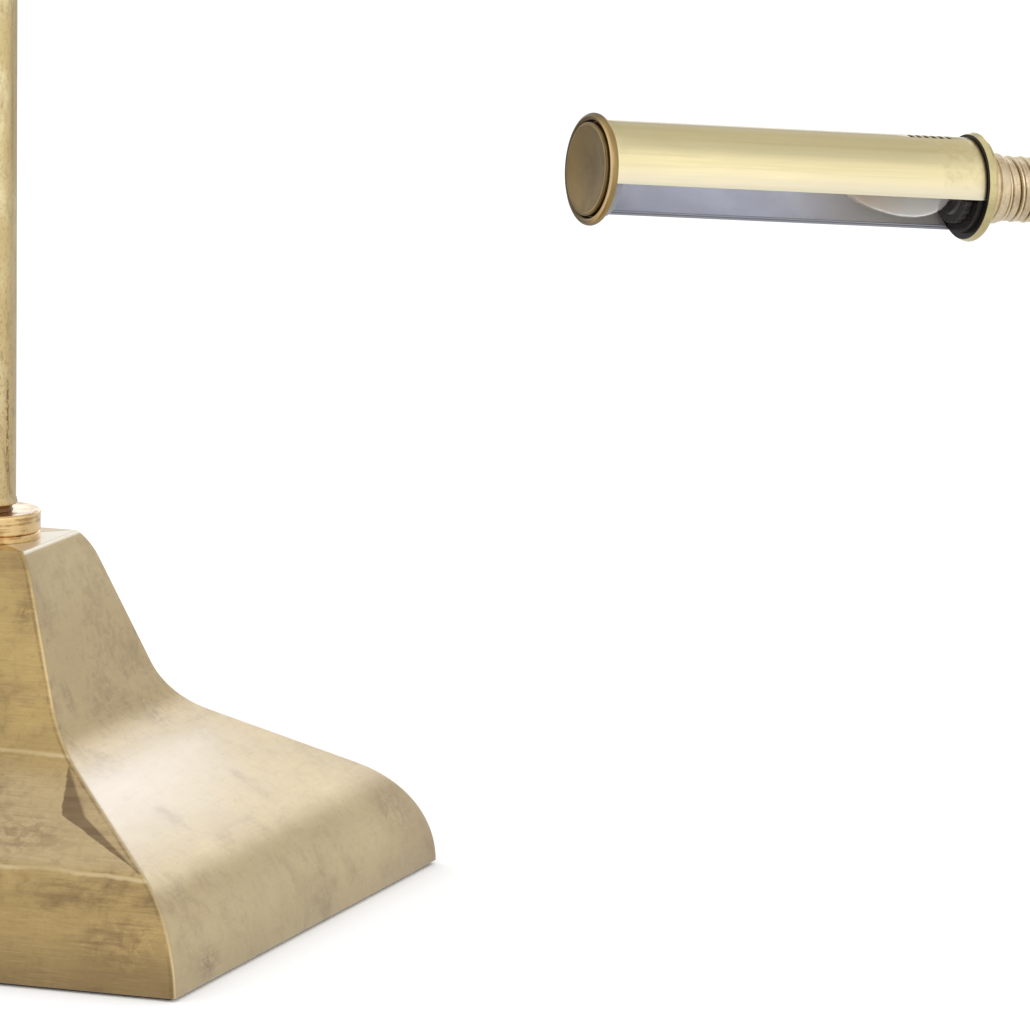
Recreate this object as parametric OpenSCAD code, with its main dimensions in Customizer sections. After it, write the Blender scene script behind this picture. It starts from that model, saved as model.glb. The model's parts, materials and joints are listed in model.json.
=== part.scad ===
// Brass reading floor lamp: weighted ogee base, telescopic pole, swivelling crook,
// flexible strip-wound neck and a slotted tubular shade that turns about its own axis.
// The base stands on the plane Z = 0, the pole rises along +Z and the crook reaches out along +X.

/* [Base] */
// Width of the square base across its faces
base_w = 300; // [240:1:360]
// Height of the brass shell from its rim to the flat on top
base_h = 158; // [150:1:190]
// Sheet thickness of the brass shell
shell_wall = 2.2; // [1.5:0.1:4]
// Radius of the bullnose round the foot
foot_r = 54; // [40:1:58]
// Slope of the lower skirt above the bullnose, in degrees
skirt_slope = 30; // [26:1:34]
// Slope of the upper stem, in degrees
stem_slope = 70; // [68:1:74]
// Width of the flat on top
top_w = 59.4; // [56:0.2:64]
// Radius of the hollow blend between skirt and stem
blend_r = 44; // [30:1:50]
// Radius of the soft brow round the top flat
brow_r = 40; // [20:1:44]
// Turn of the brow between stem and top flat, in degrees
brow_turn = 20; // [10:1:30]
// Thickness of the felt under the base
felt_t = 1.2; // [0.8:0.1:3]
// Thickness of the steel bottom plate
plate_t = 2; // [1.5:0.1:4]
// Radius of the raised dish that hides the lock nut
dish_r = 30; // [24:1:36]
// Height of the raised dish
dish_h = 14; // [13:0.5:18]
// Side of the cast ballast block
ballast_w = 190; // [150:1:200]
// Height of the cast ballast block
ballast_h = 40; // [25:1:44]
// Radius of the opening for the mains lead
inlet_r = 3.8; // [3:0.1:5]
// Height of the mains lead opening above the floor
inlet_z = 16; // [16:0.5:24]

/* [Pole] */
// Outside radius of the base collar
collar_r = 23; // [19:0.5:27]
// Height of the upper collar ring
collar_h = 9; // [6:0.5:14]
// Height of the thin lower collar flange
flange_h = 3; // [2:0.25:5]
// Height of the dark reveal between collar and pole
reveal_h = 2.6; // [1.5:0.1:5]
// Outside radius of the pole
pole_r = 12.5; // [11.5:0.1:14]
// Wall of the pole
pole_wall = 1.5; // [1:0.1:2]
// Wall of the bush that guides the riser in the pole
bush_t = 1.5; // [1:0.1:2]
// Length of that bush
bush_len = 24; // [16:1:40]
// Radius of the hollow threaded tie rod
rod_r = 5; // [4.5:0.1:5.5]
// Length of the plug in the foot of the pole
plug_len = 30; // [20:1:36]
// Outside radius of the clamp collar
clamp_r = 17; // [16:0.5:20]
// Height of the clamp collar above the end of the pole
clamp_h = 24; // [22:0.5:30]
// Grip of the clamp collar on the pole
clamp_grip = 20; // [14:0.5:30]
// Outside radius of the thumbscrew head
thumb_r = 9.5; // [8:0.5:12]
// Height that the riser can be pulled out
riser_travel = 280; // [200:1:340]

/* [Riser and switch] */
// Wall of the riser
tube_wall = 1.5; // [1:0.1:2]
// Length of riser that shows below the switch housing when it is lowered
riser_show = 18.3; // [8:0.1:60]
// Outside radius of the switch housing
housing_r = 20; // [19:0.5:24]
// Height of the switch housing
housing_h = 56; // [54:1:70]
// Radius of the switch knob
knob_r = 8; // [6:0.5:10]
// Length of the switch knob
knob_len = 13; // [10:0.5:16]

/* [Crook] */
// Radius of the crook at the middle of its tube
crook_r = 308.5; // [290:0.5:330]
// Wall of the crook
crook_wall = 1.2; // [1:0.1:2]
// Straight length between the swivel and the bend
crook_rise = 26; // [22:1:60]
// Straight drop after the bend
crook_drop = 140; // [100:1:160]

/* [Flexible neck] */
// Outside radius over the ribs
neck_r = 14.9; // [14:0.1:16]
// Depth of the grooves between the ribs
neck_groove = 1.2; // [0.6:0.1:1.4]
// Distance from rib to rib
rib_pitch = 6.29; // [5.8:0.01:6.6]
// Ribs in each of the neck's links
link_ribs = 9; // [7:1:10]
// Straight length behind the head
neck_tail = 20.5; // [16:0.5:40]
// Radius of the neck's curl
neck_bend_r = 105; // [100:1:115]

/* [Head] */
// Tilt of the shade, end cap upwards, in degrees
head_tilt = 5; // [0:0.5:15]
// Outside radius of the shade
shade_r = 22; // [21.5:0.1:24]
// Wall of the shade
shade_wall = 1.2; // [0.8:0.1:1.5]
// Length of the shade tube
shade_len = 182.2; // [150:0.1:220]
// Angle of the slot that lets the light out, in degrees
slot_angle = 101; // [70:1:130]
// Turn of the slot from straight down towards the front, in degrees
slot_turn = 30; // [0:1:60]
// Step of the end cap's bead past the shade
cap_lip = 2.8; // [2:0.1:4]
// Step of the rear flange past the shade
rear_lip = 2; // [1.2:0.1:4]
// Thickness of the rear flange
rear_t = 3.5; // [2.5:0.1:5]
// Outside radius of the ferrule behind the flange
ferrule_r = 16; // [15:0.1:18]
// Length of the ferrule behind the flange
ferrule_len = 12; // [11:0.1:18]
// Number of vent slots
vents = 6; // [3:1:8]
// Distance from vent to vent
vent_pitch = 3.74; // [3.2:0.01:5]
// Largest radius of the bulb
bulb_r = 14.8; // [12:0.1:16]
// Length of the bulb's glass
bulb_len = 57; // [50:1:80]

/* [Fits] */
// Radial clearance of a running fit
run_fit = 0.06; // [0.03:0.01:0.09]
// Clearance between faces that pass each other
face_gap = 0.3; // [0.25:0.05:0.5]
// Radial clearance of a fixed or threaded joint
seat_fit = 0.05; // [0.03:0.01:0.1]

/* [Hidden] */
$fn = 96;

// Base shell profile, half of it, with x outwards and y up from the shell's rim
foot_c = [base_w/2 - foot_r, 0];
skirt_n = [sin(skirt_slope), cos(skirt_slope)];
stem_n = [sin(stem_slope), cos(stem_slope)];
skirt_top = foot_c + foot_r*skirt_n;
brow_a0 = 90 - stem_slope;
brow_a1 = brow_a0 + brow_turn;
brow_c = [top_w/2, base_h] - brow_r*[cos(brow_a1), sin(brow_a1)];
stem_top = brow_c + brow_r*stem_n;
// Crossing of the skirt's line and the stem's line, which the hollow blend rounds off
cross_y = (skirt_top.x - stem_top.x + skirt_top.y/tan(skirt_slope) - stem_top.y/tan(stem_slope))
    /(1/tan(skirt_slope) - 1/tan(stem_slope));
cross_x = skirt_top.x - (cross_y - skirt_top.y)/tan(skirt_slope);
blend_turn = (stem_slope - skirt_slope)/2;
blend_c = [cross_x, cross_y] + blend_r*tan(blend_turn)*[skirt_n.y, -skirt_n.x] + blend_r*skirt_n;

// Heights of the stack on the base
shell_z = felt_t;
frame_t = 3;
frame_w = 8;
screw_r = 3;
screw_flare = 2;
screw_grip = 14;
screw_reach = 68;
inlet_depth = 8;
inlet_wall = 2;
inlet_lip = 1.4;
inlet_angle = asin((inlet_z - shell_z)/foot_r);
frame_rise = plate_t + frame_t;
frame_half = foot_c.x + sqrt(pow(foot_r - shell_wall, 2) - frame_rise*frame_rise) - seat_fit;
plate_half = base_w/2 - shell_wall - 0.4;
dish_top = felt_t + dish_h;
nut_h = 6;
washer_t = 1.6;
rod_z = dish_top - plate_t - washer_t - nut_h - 2;
flange_z = shell_z + base_h;
collar_z = flange_z + flange_h;
reveal_z = collar_z + collar_h;
pole_z = reveal_z + reveal_h;
riser_foot_t = 2;
riser_foot_len = 30;
riser_foot_z = pole_z + plug_len + face_gap;
stop_room = 9.7;
pole_top = riser_foot_z + riser_foot_len + riser_travel + stop_room + bush_len;
pole_len = pole_top - pole_z;
pole_flare = 0.6;
pole_bore = pole_r - pole_wall;
tube_r = pole_bore - bush_t;
clamp_top = pole_top + clamp_h;
thumb_z = pole_top + clamp_h/2;
thumb_shank_r = 3;
boss_r = 7;
boss_end = clamp_r + 4;
thumb_head_t = 11;

// Riser, switch housing and swivel
hub_h = 14;
hub_r = tube_r + 3.5;
hub_lip = 4;
housing_wall = 2;
housing_z = clamp_top + riser_show;
riser_z = riser_foot_z + riser_foot_t;
riser_len = housing_z + hub_h - hub_lip - riser_z;
housing_top = housing_z + housing_h;
lid_t = 6;
lid_top = housing_top + lid_t;
switch_drop = 4;
knob_z = (housing_z + hub_h + housing_top)/2 - switch_drop;
switch_w = 16;
switch_h = 20;
switch_front = housing_r - housing_wall - 3;
switch_back = 2;
switch_neck_r = 4.9;
switch_neck_end = housing_r + 4.5;
shaft_r = 2.95;
stem_r = 7;
bush_lip = 1.5;
swivel_z = lid_top + bush_lip + face_gap;
swivel_nut_h = 5.5;
swivel_base = 10;
swivel_grip = 20;
swivel_seat = swivel_z + swivel_base;
swivel_top = swivel_seat + swivel_grip;
wire_r = 3.2;

// Crook and neck path in the XZ plane
crook_z = swivel_seat + crook_rise;
crook_end_z = crook_z - crook_drop;
crook_x = 2*crook_r;
tip_seat = 15;
neck_z = crook_end_z - tip_seat;
links = 6;
link_len = link_ribs*rib_pitch;
neck_len = links*link_len;
neck_turn = 90 + head_tilt;
neck_arc_len = neck_bend_r*neck_turn*PI/180;
neck_drop = neck_len - neck_arc_len - neck_tail;
neck_bore = 10.4;
neck_wire = 6;
neck_sides = 12;
groove_r = neck_r - neck_groove;
ball_r = 9.8;
ball_reach = 5;
rim_gap = 1.6;
plug_r = 9.7;
neck_plug = 14;

function arc_angle(s) = min(max((s - neck_drop)/neck_bend_r*180/PI, 0), neck_turn);
function neck_tangent(s) = let (a = arc_angle(s)) [-sin(a), 0, -cos(a)];
function neck_normal(s) = let (a = arc_angle(s)) [cos(a), 0, -sin(a)];
function neck_point(s) =
    let (a = arc_angle(s),
         straight = min(s, neck_drop),
         tail = max(s - neck_drop - neck_arc_len, 0))
    [crook_x - neck_bend_r, 0, neck_z - straight] + neck_bend_r*[cos(a), 0, -sin(a)]
        + tail*neck_tangent(s);

// Head, along its own axis h from the flange's front face towards the end cap
head_back = rear_t + ferrule_len;
head_pos = neck_point(neck_len) + head_back*neck_tangent(neck_len);
rear_r = shade_r + rear_lip;
holder_r = 12.8;
holder_front = 8;
holder_back = -head_back + 2.5;
shield_t = 0.5;
hub_front = 3;
hub_gap = 0.4;
ring_t = 3.5;
ring_r = 16.5;
shade_bore = shade_r - shade_wall;
shade_end = hub_gap + shade_len;
cap_spigot = 4;
cap_plate = 2;
bead_r = 1.9;
cap_r = shade_r + cap_lip;
bead_ring = cap_r - bead_r;
bead_h = shade_end + bead_r + 0.1;
button_t = 2.8;
button_r = bead_ring - bead_r - 0.2;
button_h = shade_end + cap_plate;
button_dish = 0.9;
stud_r = 2.5;
cap_nut_h = 3.4;
liner_t = 0.7;
vent_w = 2;
vent_span = 84;
vent_first = 12;
cap_thread_r = 6.9;
bulb_z = holder_front + 2;
bulb_wall = 0.6;
bulb_neck_r = 6.2;

// Half of the base outline, drawn inwards from the outer skin by the inset.
// It spills past the axis and below the rim, where the faces are cut off later.
module base_half(inset, spill) {
    foot = foot_r - inset;
    bend = blend_r + inset;
    brow = brow_r - inset;
    skirt_end = blend_c - bend*skirt_n;
    stem_start = blend_c - bend*stem_n;
    corner = skirt_end + bend*tan(blend_turn)*[-skirt_n.y, skirt_n.x];
    brow_start = brow_c + brow*[cos(brow_a0), sin(brow_a0)];
    brow_end = brow_c + brow*[cos(brow_a1), sin(brow_a1)];
    polygon([[-spill, -spill], [foot_c.x, -spill], foot_c + foot*skirt_n, corner, brow_start, brow_end,
        [-spill, brow_end.y]]);
    translate([foot_c.x, -spill]) square([foot, spill]);
    intersection() {
        translate(foot_c) circle(foot);
        translate(foot_c) square(foot);
    }
    difference() {
        polygon([skirt_end, blend_c, stem_start, stem_start - bend/4*stem_n, skirt_end - bend/4*skirt_n]);
        translate(blend_c) circle(bend);
    }
    intersection() {
        translate(brow_c) circle(brow);
        polygon([brow_c, brow_c + 2*brow*[cos(brow_a0), sin(brow_a0)],
            brow_c + 2*brow*[cos(brow_a1), sin(brow_a1)]]);
    }
}

// Section of the shell's wall, from the rim to the middle of the top flat
module base_wall() {
    difference() {
        base_half(0, 1);
        intersection() {
            base_half(shell_wall, 2);
            translate([-2, -2]) square([base_w, base_h - shell_wall + 2]);
        }
    }
}

// One face of the shell, cut off along the mitres where it meets its neighbours
module base_face() {
    intersection() {
        rotate([90, 0, 0]) linear_extrude(2*base_w, center = true) base_wall();
        linear_extrude(2*base_h) polygon([[0, 0], [base_w, -base_w], [base_w, base_w]]);
    }
}

// Square plate with its corners on the X and Y axes
module square_plate(half, t) {
    rotate(45) translate([-half, -half, 0]) cube([2*half, 2*half, t]);
}

// Ring along Z
module ring(outer, inner, t) {
    difference() {
        cylinder(r = outer, h = t);
        translate([0, 0, -1]) cylinder(r = inner, h = t + 2);
    }
}

// Hexagon nut along Z with a round bore
module hex_nut(across_r, bore, t) {
    difference() {
        cylinder(r = across_r, h = t, $fn = 6);
        translate([0, 0, -1]) cylinder(r = bore, h = t + 2);
    }
}

// Grip with shallow flutes along Z
module fluted_grip(r, t, flutes) {
    flute_r = r*PI/flutes/2;
    linear_extrude(t) difference() {
        circle(r);
        for (i = [0:flutes - 1]) rotate(i*360/flutes) translate([r + flute_r*0.3, 0]) circle(flute_r);
    }
}

// Frame of the mains lead opening, Z pointing squarely out of the rear face's bullnose
module at_inlet() {
    rotate(135) translate([foot_c.x, 0, shell_z]) rotate([0, 90 - inlet_angle, 0])
        translate([0, 0, foot_r - inlet_depth]) children();
}

// Frame of the switch shaft, Z pointing out of the front of the housing
module at_knob() {
    translate([0, 0, knob_z]) rotate([90, 0, 0]) children();
}

// Frame of the thumbscrew, Z pointing out of the clamp collar
module at_thumb() {
    translate([0, 0, thumb_z]) rotate([0, -90, 0]) children();
}

// Frame of the head, Z towards the end cap and X up
module at_head() {
    translate(head_pos) rotate([0, head_tilt - 90, 0]) children();
}

module base_shell() {
    color("darkkhaki") translate([0, 0, shell_z]) difference() {
        for (turn = [45:90:315]) rotate(turn) base_face();
        translate([0, 0, base_h/2]) cylinder(r = rod_r + face_gap, h = base_h);
        translate([0, 0, -shell_z]) at_inlet() cylinder(r = inlet_r + inlet_wall, h = 2*inlet_depth);
    }
}

module rim_frame() {
    color("dimgray") translate([0, 0, felt_t + plate_t]) difference() {
        square_plate(frame_half, frame_t);
        translate([0, 0, -1]) square_plate(frame_half - frame_w, frame_t + 2);
    }
}

module base_plate() {
    color("dimgray") {
        translate([0, 0, felt_t]) difference() {
            square_plate(plate_half, plate_t);
            translate([0, 0, -1]) cylinder(r = dish_r - plate_t, h = plate_t + 2);
            plate_screw_places() plate_screw(seat_fit);
        }
        translate([0, 0, felt_t]) rotate_extrude() polygon([[dish_r - plate_t, 0], [dish_r, 0],
            [dish_r, dish_h], [rod_r + face_gap, dish_h], [rod_r + face_gap, dish_h - plate_t],
            [dish_r - plate_t, dish_h - plate_t]]);
    }
}

module felt_sheet() {
    color("darkslategray") square_plate(plate_half - 1, felt_t);
}

// Countersunk screw, or its hole when a clearance is given
module plate_screw(clear) {
    translate([0, 0, -clear])
        cylinder(r1 = screw_r + screw_flare + clear, r2 = screw_r + clear, h = plate_t + clear);
    cylinder(r = screw_r + clear, h = plate_t + screw_grip + clear);
}

// Places of the screws that hold the ballast to the bottom plate
module plate_screw_places() {
    for (a = [0:90:270]) rotate(a) translate([screw_reach, 0, 0]) children();
}

module ballast_weight() {
    corner_r = 12;
    color("darkgray") translate([0, 0, felt_t + plate_t]) difference() {
        rotate(45) linear_extrude(ballast_h) union() {
            square([ballast_w, ballast_w - 2*corner_r], center = true);
            square([ballast_w - 2*corner_r, ballast_w], center = true);
            for (x = [-1, 1], y = [-1, 1])
                translate([x, y]*(ballast_w/2 - corner_r)) circle(corner_r);
        }
        translate([0, 0, -1]) cylinder(r = dish_r + 2, h = ballast_h + 2);
        translate([0, 0, -plate_t]) plate_screw_places() plate_screw(seat_fit);
    }
}

module plate_screws() {
    color("gainsboro") translate([0, 0, felt_t]) plate_screw_places() plate_screw(0);
}

module cord_grommet() {
    color("black") at_inlet() difference() {
        union() {
            cylinder(r = inlet_r + inlet_wall - seat_fit, h = inlet_depth + inlet_lip);
            translate([0, 0, inlet_depth + seat_fit])
                cylinder(r = inlet_r + inlet_wall + 1, h = inlet_lip - seat_fit);
        }
        translate([0, 0, -1]) cylinder(r = inlet_r, h = inlet_depth + inlet_lip + 2);
    }
}

module tie_rod() {
    color("silver") translate([0, 0, rod_z]) ring(rod_r, wire_r, pole_z + plug_len - 6 - rod_z);
}

module lock_washer() {
    color("silver") translate([0, 0, dish_top - plate_t - washer_t])
        ring(3*rod_r, rod_r + seat_fit, washer_t);
}

module lock_nut() {
    color("silver") translate([0, 0, dish_top - plate_t - washer_t - nut_h])
        hex_nut(1.9*rod_r, rod_r + seat_fit, nut_h);
}

module collar_flange() {
    edge = 0.6;
    color("goldenrod") translate([0, 0, flange_z]) rotate_extrude() polygon([[rod_r + seat_fit, 0],
        [collar_r, 0], [collar_r, flange_h - edge], [collar_r - edge, flange_h],
        [rod_r + seat_fit, flange_h]]);
}

module collar_ring() {
    edge = 0.9;
    color("peru") translate([0, 0, collar_z]) rotate_extrude() {
        polygon([[rod_r + seat_fit, 0], [collar_r - edge, 0], [collar_r, edge],
            [collar_r, collar_h - edge], [collar_r - edge, collar_h], [rod_r + seat_fit, collar_h]]);
        translate([collar_r - edge, collar_h - edge]) circle(edge);
    }
}

module pole_spacer() {
    color("saddlebrown") translate([0, 0, reveal_z]) ring(pole_r - 1.2, rod_r + seat_fit, reveal_h);
}

module pole_tube() {
    color("darkgoldenrod") translate([0, 0, pole_z]) rotate_extrude() polygon([[pole_bore, 0],
        [pole_r + pole_flare, 0], [pole_r + pole_flare, pole_flare], [pole_r, 4*pole_flare],
        [pole_r, pole_len], [pole_bore, pole_len]]);
}

module pole_plug() {
    color("goldenrod") translate([0, 0, pole_z]) ring(pole_bore - seat_fit, rod_r + seat_fit, plug_len);
}

module guide_bush() {
    color("ivory") translate([0, 0, pole_top - bush_len])
        ring(pole_bore - seat_fit, tube_r + run_fit, bush_len);
}

module clamp_collar() {
    edge = 1.5;
    low = pole_top - clamp_grip;
    color("goldenrod") difference() {
        union() {
            translate([0, 0, low]) rotate_extrude() polygon([[pole_r + seat_fit, 0], [clamp_r - edge, 0],
                [clamp_r, edge], [clamp_r, clamp_grip + clamp_h - 3*edge],
                [clamp_r - 2*edge, clamp_grip + clamp_h], [tube_r + run_fit, clamp_grip + clamp_h],
                [tube_r + run_fit, clamp_grip], [pole_r + seat_fit, clamp_grip]]);
            at_thumb() translate([0, 0, tube_r + 3]) cylinder(r = boss_r, h = boss_end - tube_r - 3);
        }
        at_thumb() translate([0, 0, tube_r - 2]) cylinder(r = thumb_shank_r + seat_fit, h = boss_end);
    }
}

module thumbscrew() {
    color("gold") at_thumb() {
        translate([0, 0, tube_r + face_gap]) cylinder(r = thumb_shank_r, h = boss_end - tube_r + 1);
        translate([0, 0, boss_end + 1]) fluted_grip(thumb_r, thumb_head_t, 14);
    }
}

module riser_tube() {
    color("khaki") translate([0, 0, riser_z]) ring(tube_r, tube_r - tube_wall, riser_len);
}

module riser_foot() {
    color("ivory") translate([0, 0, riser_foot_z]) rotate_extrude() polygon([[tube_r - 3, 0],
        [pole_bore - run_fit, 0], [pole_bore - run_fit, riser_foot_len],
        [tube_r + seat_fit, riser_foot_len], [tube_r + seat_fit, riser_foot_t],
        [tube_r - 3, riser_foot_t]]);
}

module switch_housing() {
    edge = 2;
    bore = tube_r + seat_fit;
    inner = housing_r - housing_wall;
    color("darkkhaki") difference() {
        translate([0, 0, housing_z]) rotate_extrude() polygon([[bore, 0], [housing_r - edge, 0],
            [housing_r, edge], [housing_r, housing_h], [inner, housing_h], [inner, hub_lip],
            [hub_r, hub_lip], [hub_r, hub_h], [tube_r - 1, hub_h], [tube_r - 1, hub_h - hub_lip],
            [bore, hub_h - hub_lip]]);
        at_knob() translate([0, 0, inner - housing_wall])
            cylinder(r = switch_neck_r + seat_fit, h = 3*housing_wall);
    }
}

module housing_lid() {
    edge = 2;
    inner = housing_r - housing_wall;
    hole = stem_r + 2;
    color("darkkhaki") translate([0, 0, housing_top]) rotate_extrude() polygon([[hole, -3],
        [inner - seat_fit, -3], [inner - seat_fit, 0], [housing_r, 0], [housing_r, lid_t - edge],
        [housing_r - edge, lid_t], [hole, lid_t]]);
}

module switch_body() {
    color("black") at_knob() difference() {
        union() {
            translate([-switch_w/2, -switch_h/2, switch_back])
                cube([switch_w, switch_h, switch_front - switch_back]);
            cylinder(r = switch_neck_r, h = switch_neck_end);
        }
        translate([0, 0, switch_back + 4]) cylinder(r = shaft_r + run_fit, h = switch_neck_end);
    }
}

module switch_nut() {
    color("gold") at_knob() translate([0, 0, housing_r + seat_fit])
        hex_nut(switch_neck_r + 3.2, switch_neck_r + seat_fit, 2.6);
}

module switch_knob() {
    color("gold") at_knob() {
        translate([0, 0, switch_back + 5]) cylinder(r = shaft_r, h = switch_neck_end - switch_back - 4);
        translate([0, 0, switch_neck_end + face_gap]) fluted_grip(knob_r, knob_len - 2, 18);
        translate([0, 0, switch_neck_end + face_gap + knob_len - 2])
            cylinder(r1 = knob_r*0.92, r2 = knob_r*0.75, h = 2);
    }
}

module swivel_bush() {
    outer = stem_r + 2 - seat_fit;
    color("ivory") translate([0, 0, housing_top - 3]) rotate_extrude() polygon([[stem_r + run_fit, 0],
        [outer, 0], [outer, lid_t + 3], [stem_r + 7, lid_t + 3], [stem_r + 7, lid_t + 3 + bush_lip],
        [stem_r + run_fit, lid_t + 3 + bush_lip]]);
}

module swivel_ferrule() {
    stem_len = swivel_z - housing_top + 3 + face_gap + swivel_nut_h + 1;
    seat = swivel_seat - swivel_z;
    tall = swivel_top - swivel_z;
    color("goldenrod") translate([0, 0, swivel_z]) rotate_extrude() polygon([[wire_r, -stem_len],
        [stem_r, -stem_len], [stem_r, 0], [ferrule_r - 1, 0], [ferrule_r, 1], [ferrule_r, seat - 3],
        [ferrule_r - 2, seat], [tube_r + 3, tall - 2], [tube_r + 1.5, tall], [tube_r + seat_fit, tall],
        [tube_r + seat_fit, seat], [wire_r, seat]]);
}

module swivel_nut() {
    color("silver") translate([0, 0, housing_top - 3 - face_gap - swivel_nut_h])
        hex_nut(stem_r + 4, stem_r + seat_fit, swivel_nut_h);
}

module crook_tube() {
    inner = tube_r - crook_wall;
    color("khaki") {
        translate([0, 0, swivel_seat]) ring(tube_r, inner, crook_rise);
        translate([crook_r, 0, crook_z]) rotate([90, 0, 0]) rotate_extrude(angle = 180)
            translate([crook_r, 0]) difference() {
                circle(tube_r);
                circle(inner);
            }
        translate([crook_x, 0, crook_end_z]) ring(tube_r, inner, crook_drop);
    }
}

module crook_ferrule() {
    grip = 30;
    color("goldenrod") translate([crook_x, 0, neck_z]) rotate_extrude() polygon([[wire_r, -neck_plug],
        [plug_r, -neck_plug], [plug_r, 0], [ferrule_r - 0.6, 0], [ferrule_r, 0.6],
        [ferrule_r, tip_seat + 4], [tube_r + 4, tip_seat + 9], [tube_r + 2.5, tip_seat + grip - 2],
        [tube_r + 1, tip_seat + grip], [tube_r + seat_fit, tip_seat + grip],
        [tube_r + seat_fit, tip_seat], [wire_r, tip_seat]]);
}

// One link of the neck: ribbed outside, bored inside, with a ball spigot for the next link.
// Each ring is a station along the neck and a radius, in a loop round the section.
module neck_link(i) {
    first = i == 1;
    last = i == links;
    from = (i - 1)*link_len;
    to = i*link_len;
    low = first ? 0 : from + rim_gap;
    high = last ? to : to - rim_gap;
    land = 0.15*rib_pitch;
    ribs = [for (j = [0:link_ribs - 1]) each [
        [max(from + j*rib_pitch + land, low + 0.6), neck_r],
        [min(from + (j + 1)*rib_pitch - land, high - 0.6), neck_r],
        if (j < link_ribs - 1) [from + (j + 1)*rib_pitch, groove_r]]];
    ball = [for (u = [-rim_gap, 0, ball_reach/2, ball_reach]) [to + u, sqrt(ball_r*ball_r - u*u)]];
    wire_step = to - 10;
    bore_end = last ? high : wire_step;
    bore = [for (j = [5:-1:0]) [low + (bore_end - low)*j/5, neck_bore]];
    spigot = concat(ball, [[to + ball_reach, neck_wire], [wire_step + 0.5, neck_wire]]);
    rings = concat([[low, groove_r]], ribs, [[high, groove_r]], last ? [] : spigot, bore);
    count = len(rings);
    points = [for (q = rings, k = [0:neck_sides - 1])
        let (a = (k + 0.5)*360/neck_sides)
        neck_point(q[0]) + q[1]*(cos(a)*neck_normal(q[0]) + sin(a)*[0, 1, 0])];
    faces = [for (j = [0:count - 1], k = [0:neck_sides - 1])
        let (a = j*neck_sides + k, b = j*neck_sides + (k + 1)%neck_sides,
             c = ((j + 1)%count)*neck_sides + (k + 1)%neck_sides, d = ((j + 1)%count)*neck_sides + k)
        each [[a, c, b], [a, d, c]]];
    color("tan") polyhedron(points, faces, convexity = 6);
}

module neck_link_1() { neck_link(1); }
module neck_link_2() { neck_link(2); }
module neck_link_3() { neck_link(3); }
module neck_link_4() { neck_link(4); }
module neck_link_5() { neck_link(5); }
module neck_link_6() { neck_link(6); }

module neck_ferrule() {
    pocket = holder_r + seat_fit;
    color("tan") at_head() rotate_extrude() polygon([[wire_r, -head_back - neck_plug],
        [plug_r, -head_back - neck_plug], [plug_r, -head_back], [ferrule_r - 0.8, -head_back],
        [ferrule_r, -head_back + 0.8], [ferrule_r, -rear_t], [pocket, -rear_t], [pocket, holder_back],
        [wire_r, holder_back]]);
}

module rear_flange() {
    edge = 0.5;
    bore = holder_r + seat_fit;
    color("darkkhaki") at_head() rotate_extrude() polygon([[bore, -rear_t], [rear_r - edge, -rear_t],
        [rear_r, -rear_t + edge], [rear_r, -shield_t], [bore, -shield_t]]);
}

module heat_shield() {
    color("black") at_head() translate([0, 0, -shield_t])
        ring(rear_r, holder_r + seat_fit, shield_t);
}

module lampholder() {
    bore = cap_thread_r + 0.2;
    color("dimgray") at_head() rotate_extrude() polygon([[wire_r, holder_back], [holder_r, holder_back],
        [holder_r, holder_front - 1], [holder_r - 1, holder_front], [bore, holder_front],
        [bore, holder_back + 4], [wire_r, holder_back + 4]]);
}

module holder_contact() {
    color("gold") at_head() translate([0, 0, holder_back + 4]) cylinder(r = 5, h = 0.8);
}

module shade_ring() {
    color("black") at_head() translate([0, 0, hub_front + face_gap]) difference() {
        fluted_grip(ring_r, ring_t, 24);
        translate([0, 0, -1]) cylinder(r = holder_r + seat_fit, h = ring_t + 2);
    }
}

module bulb_cap() {
    tip = holder_back + 4.8;
    color("silver") at_head() rotate_extrude() polygon([[0, tip], [2.5, tip], [4, tip + 1.6],
        [cap_thread_r, tip + 3], [cap_thread_r, bulb_z - 1], [bulb_neck_r + 1, bulb_z], [0, bulb_z]]);
}

// Radius of the bulb at a share t of its length, a candle form that closes at the tip
function bulb_form(t) = let (belly = 0.42, tip = max(1 - t, 0)/(1 - belly))
    t < belly ? bulb_neck_r + (bulb_r - bulb_neck_r)*(1 - cos(180*t/belly))/2
              : bulb_r*sqrt(max(1 - pow(1 - tip, 2.2), 0))*(0.94 + 0.06*tip);

module bulb_glass() {
    steps = 24;
    color("lightcyan", 0.4) at_head() rotate_extrude() polygon(concat(
        [for (j = [0:steps]) [bulb_form(j/steps), bulb_z + bulb_len*j/steps]],
        [for (j = [steps:-1:0]) [max(bulb_form(j/steps) - bulb_wall, 0),
            bulb_z + (bulb_len - bulb_wall)*j/steps]]));
}

module bulb_filament() {
    span = 5;
    wire = 0.4;
    mount_h = 0.24*bulb_len;
    low = bulb_z + mount_h;
    high = bulb_z + 0.44*bulb_len;
    color("lightgray") at_head() {
        translate([0, 0, bulb_z]) cylinder(r1 = bulb_neck_r - bulb_wall - 0.4, r2 = 2.2, h = mount_h);
        for (side = [-1, 1]) hull() {
            translate([side, 0, low - 1]) sphere(wire, $fn = 16);
            translate([side*span, 0, high]) sphere(wire, $fn = 16);
        }
        translate([-span, 0, high]) rotate([0, 90, 0]) cylinder(r = wire, h = 2*span);
    }
}

module shade_hub() {
    color("black") at_head() translate([0, 0, hub_gap])
        ring(shade_bore - seat_fit, holder_r + run_fit, hub_front - hub_gap);
}

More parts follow.
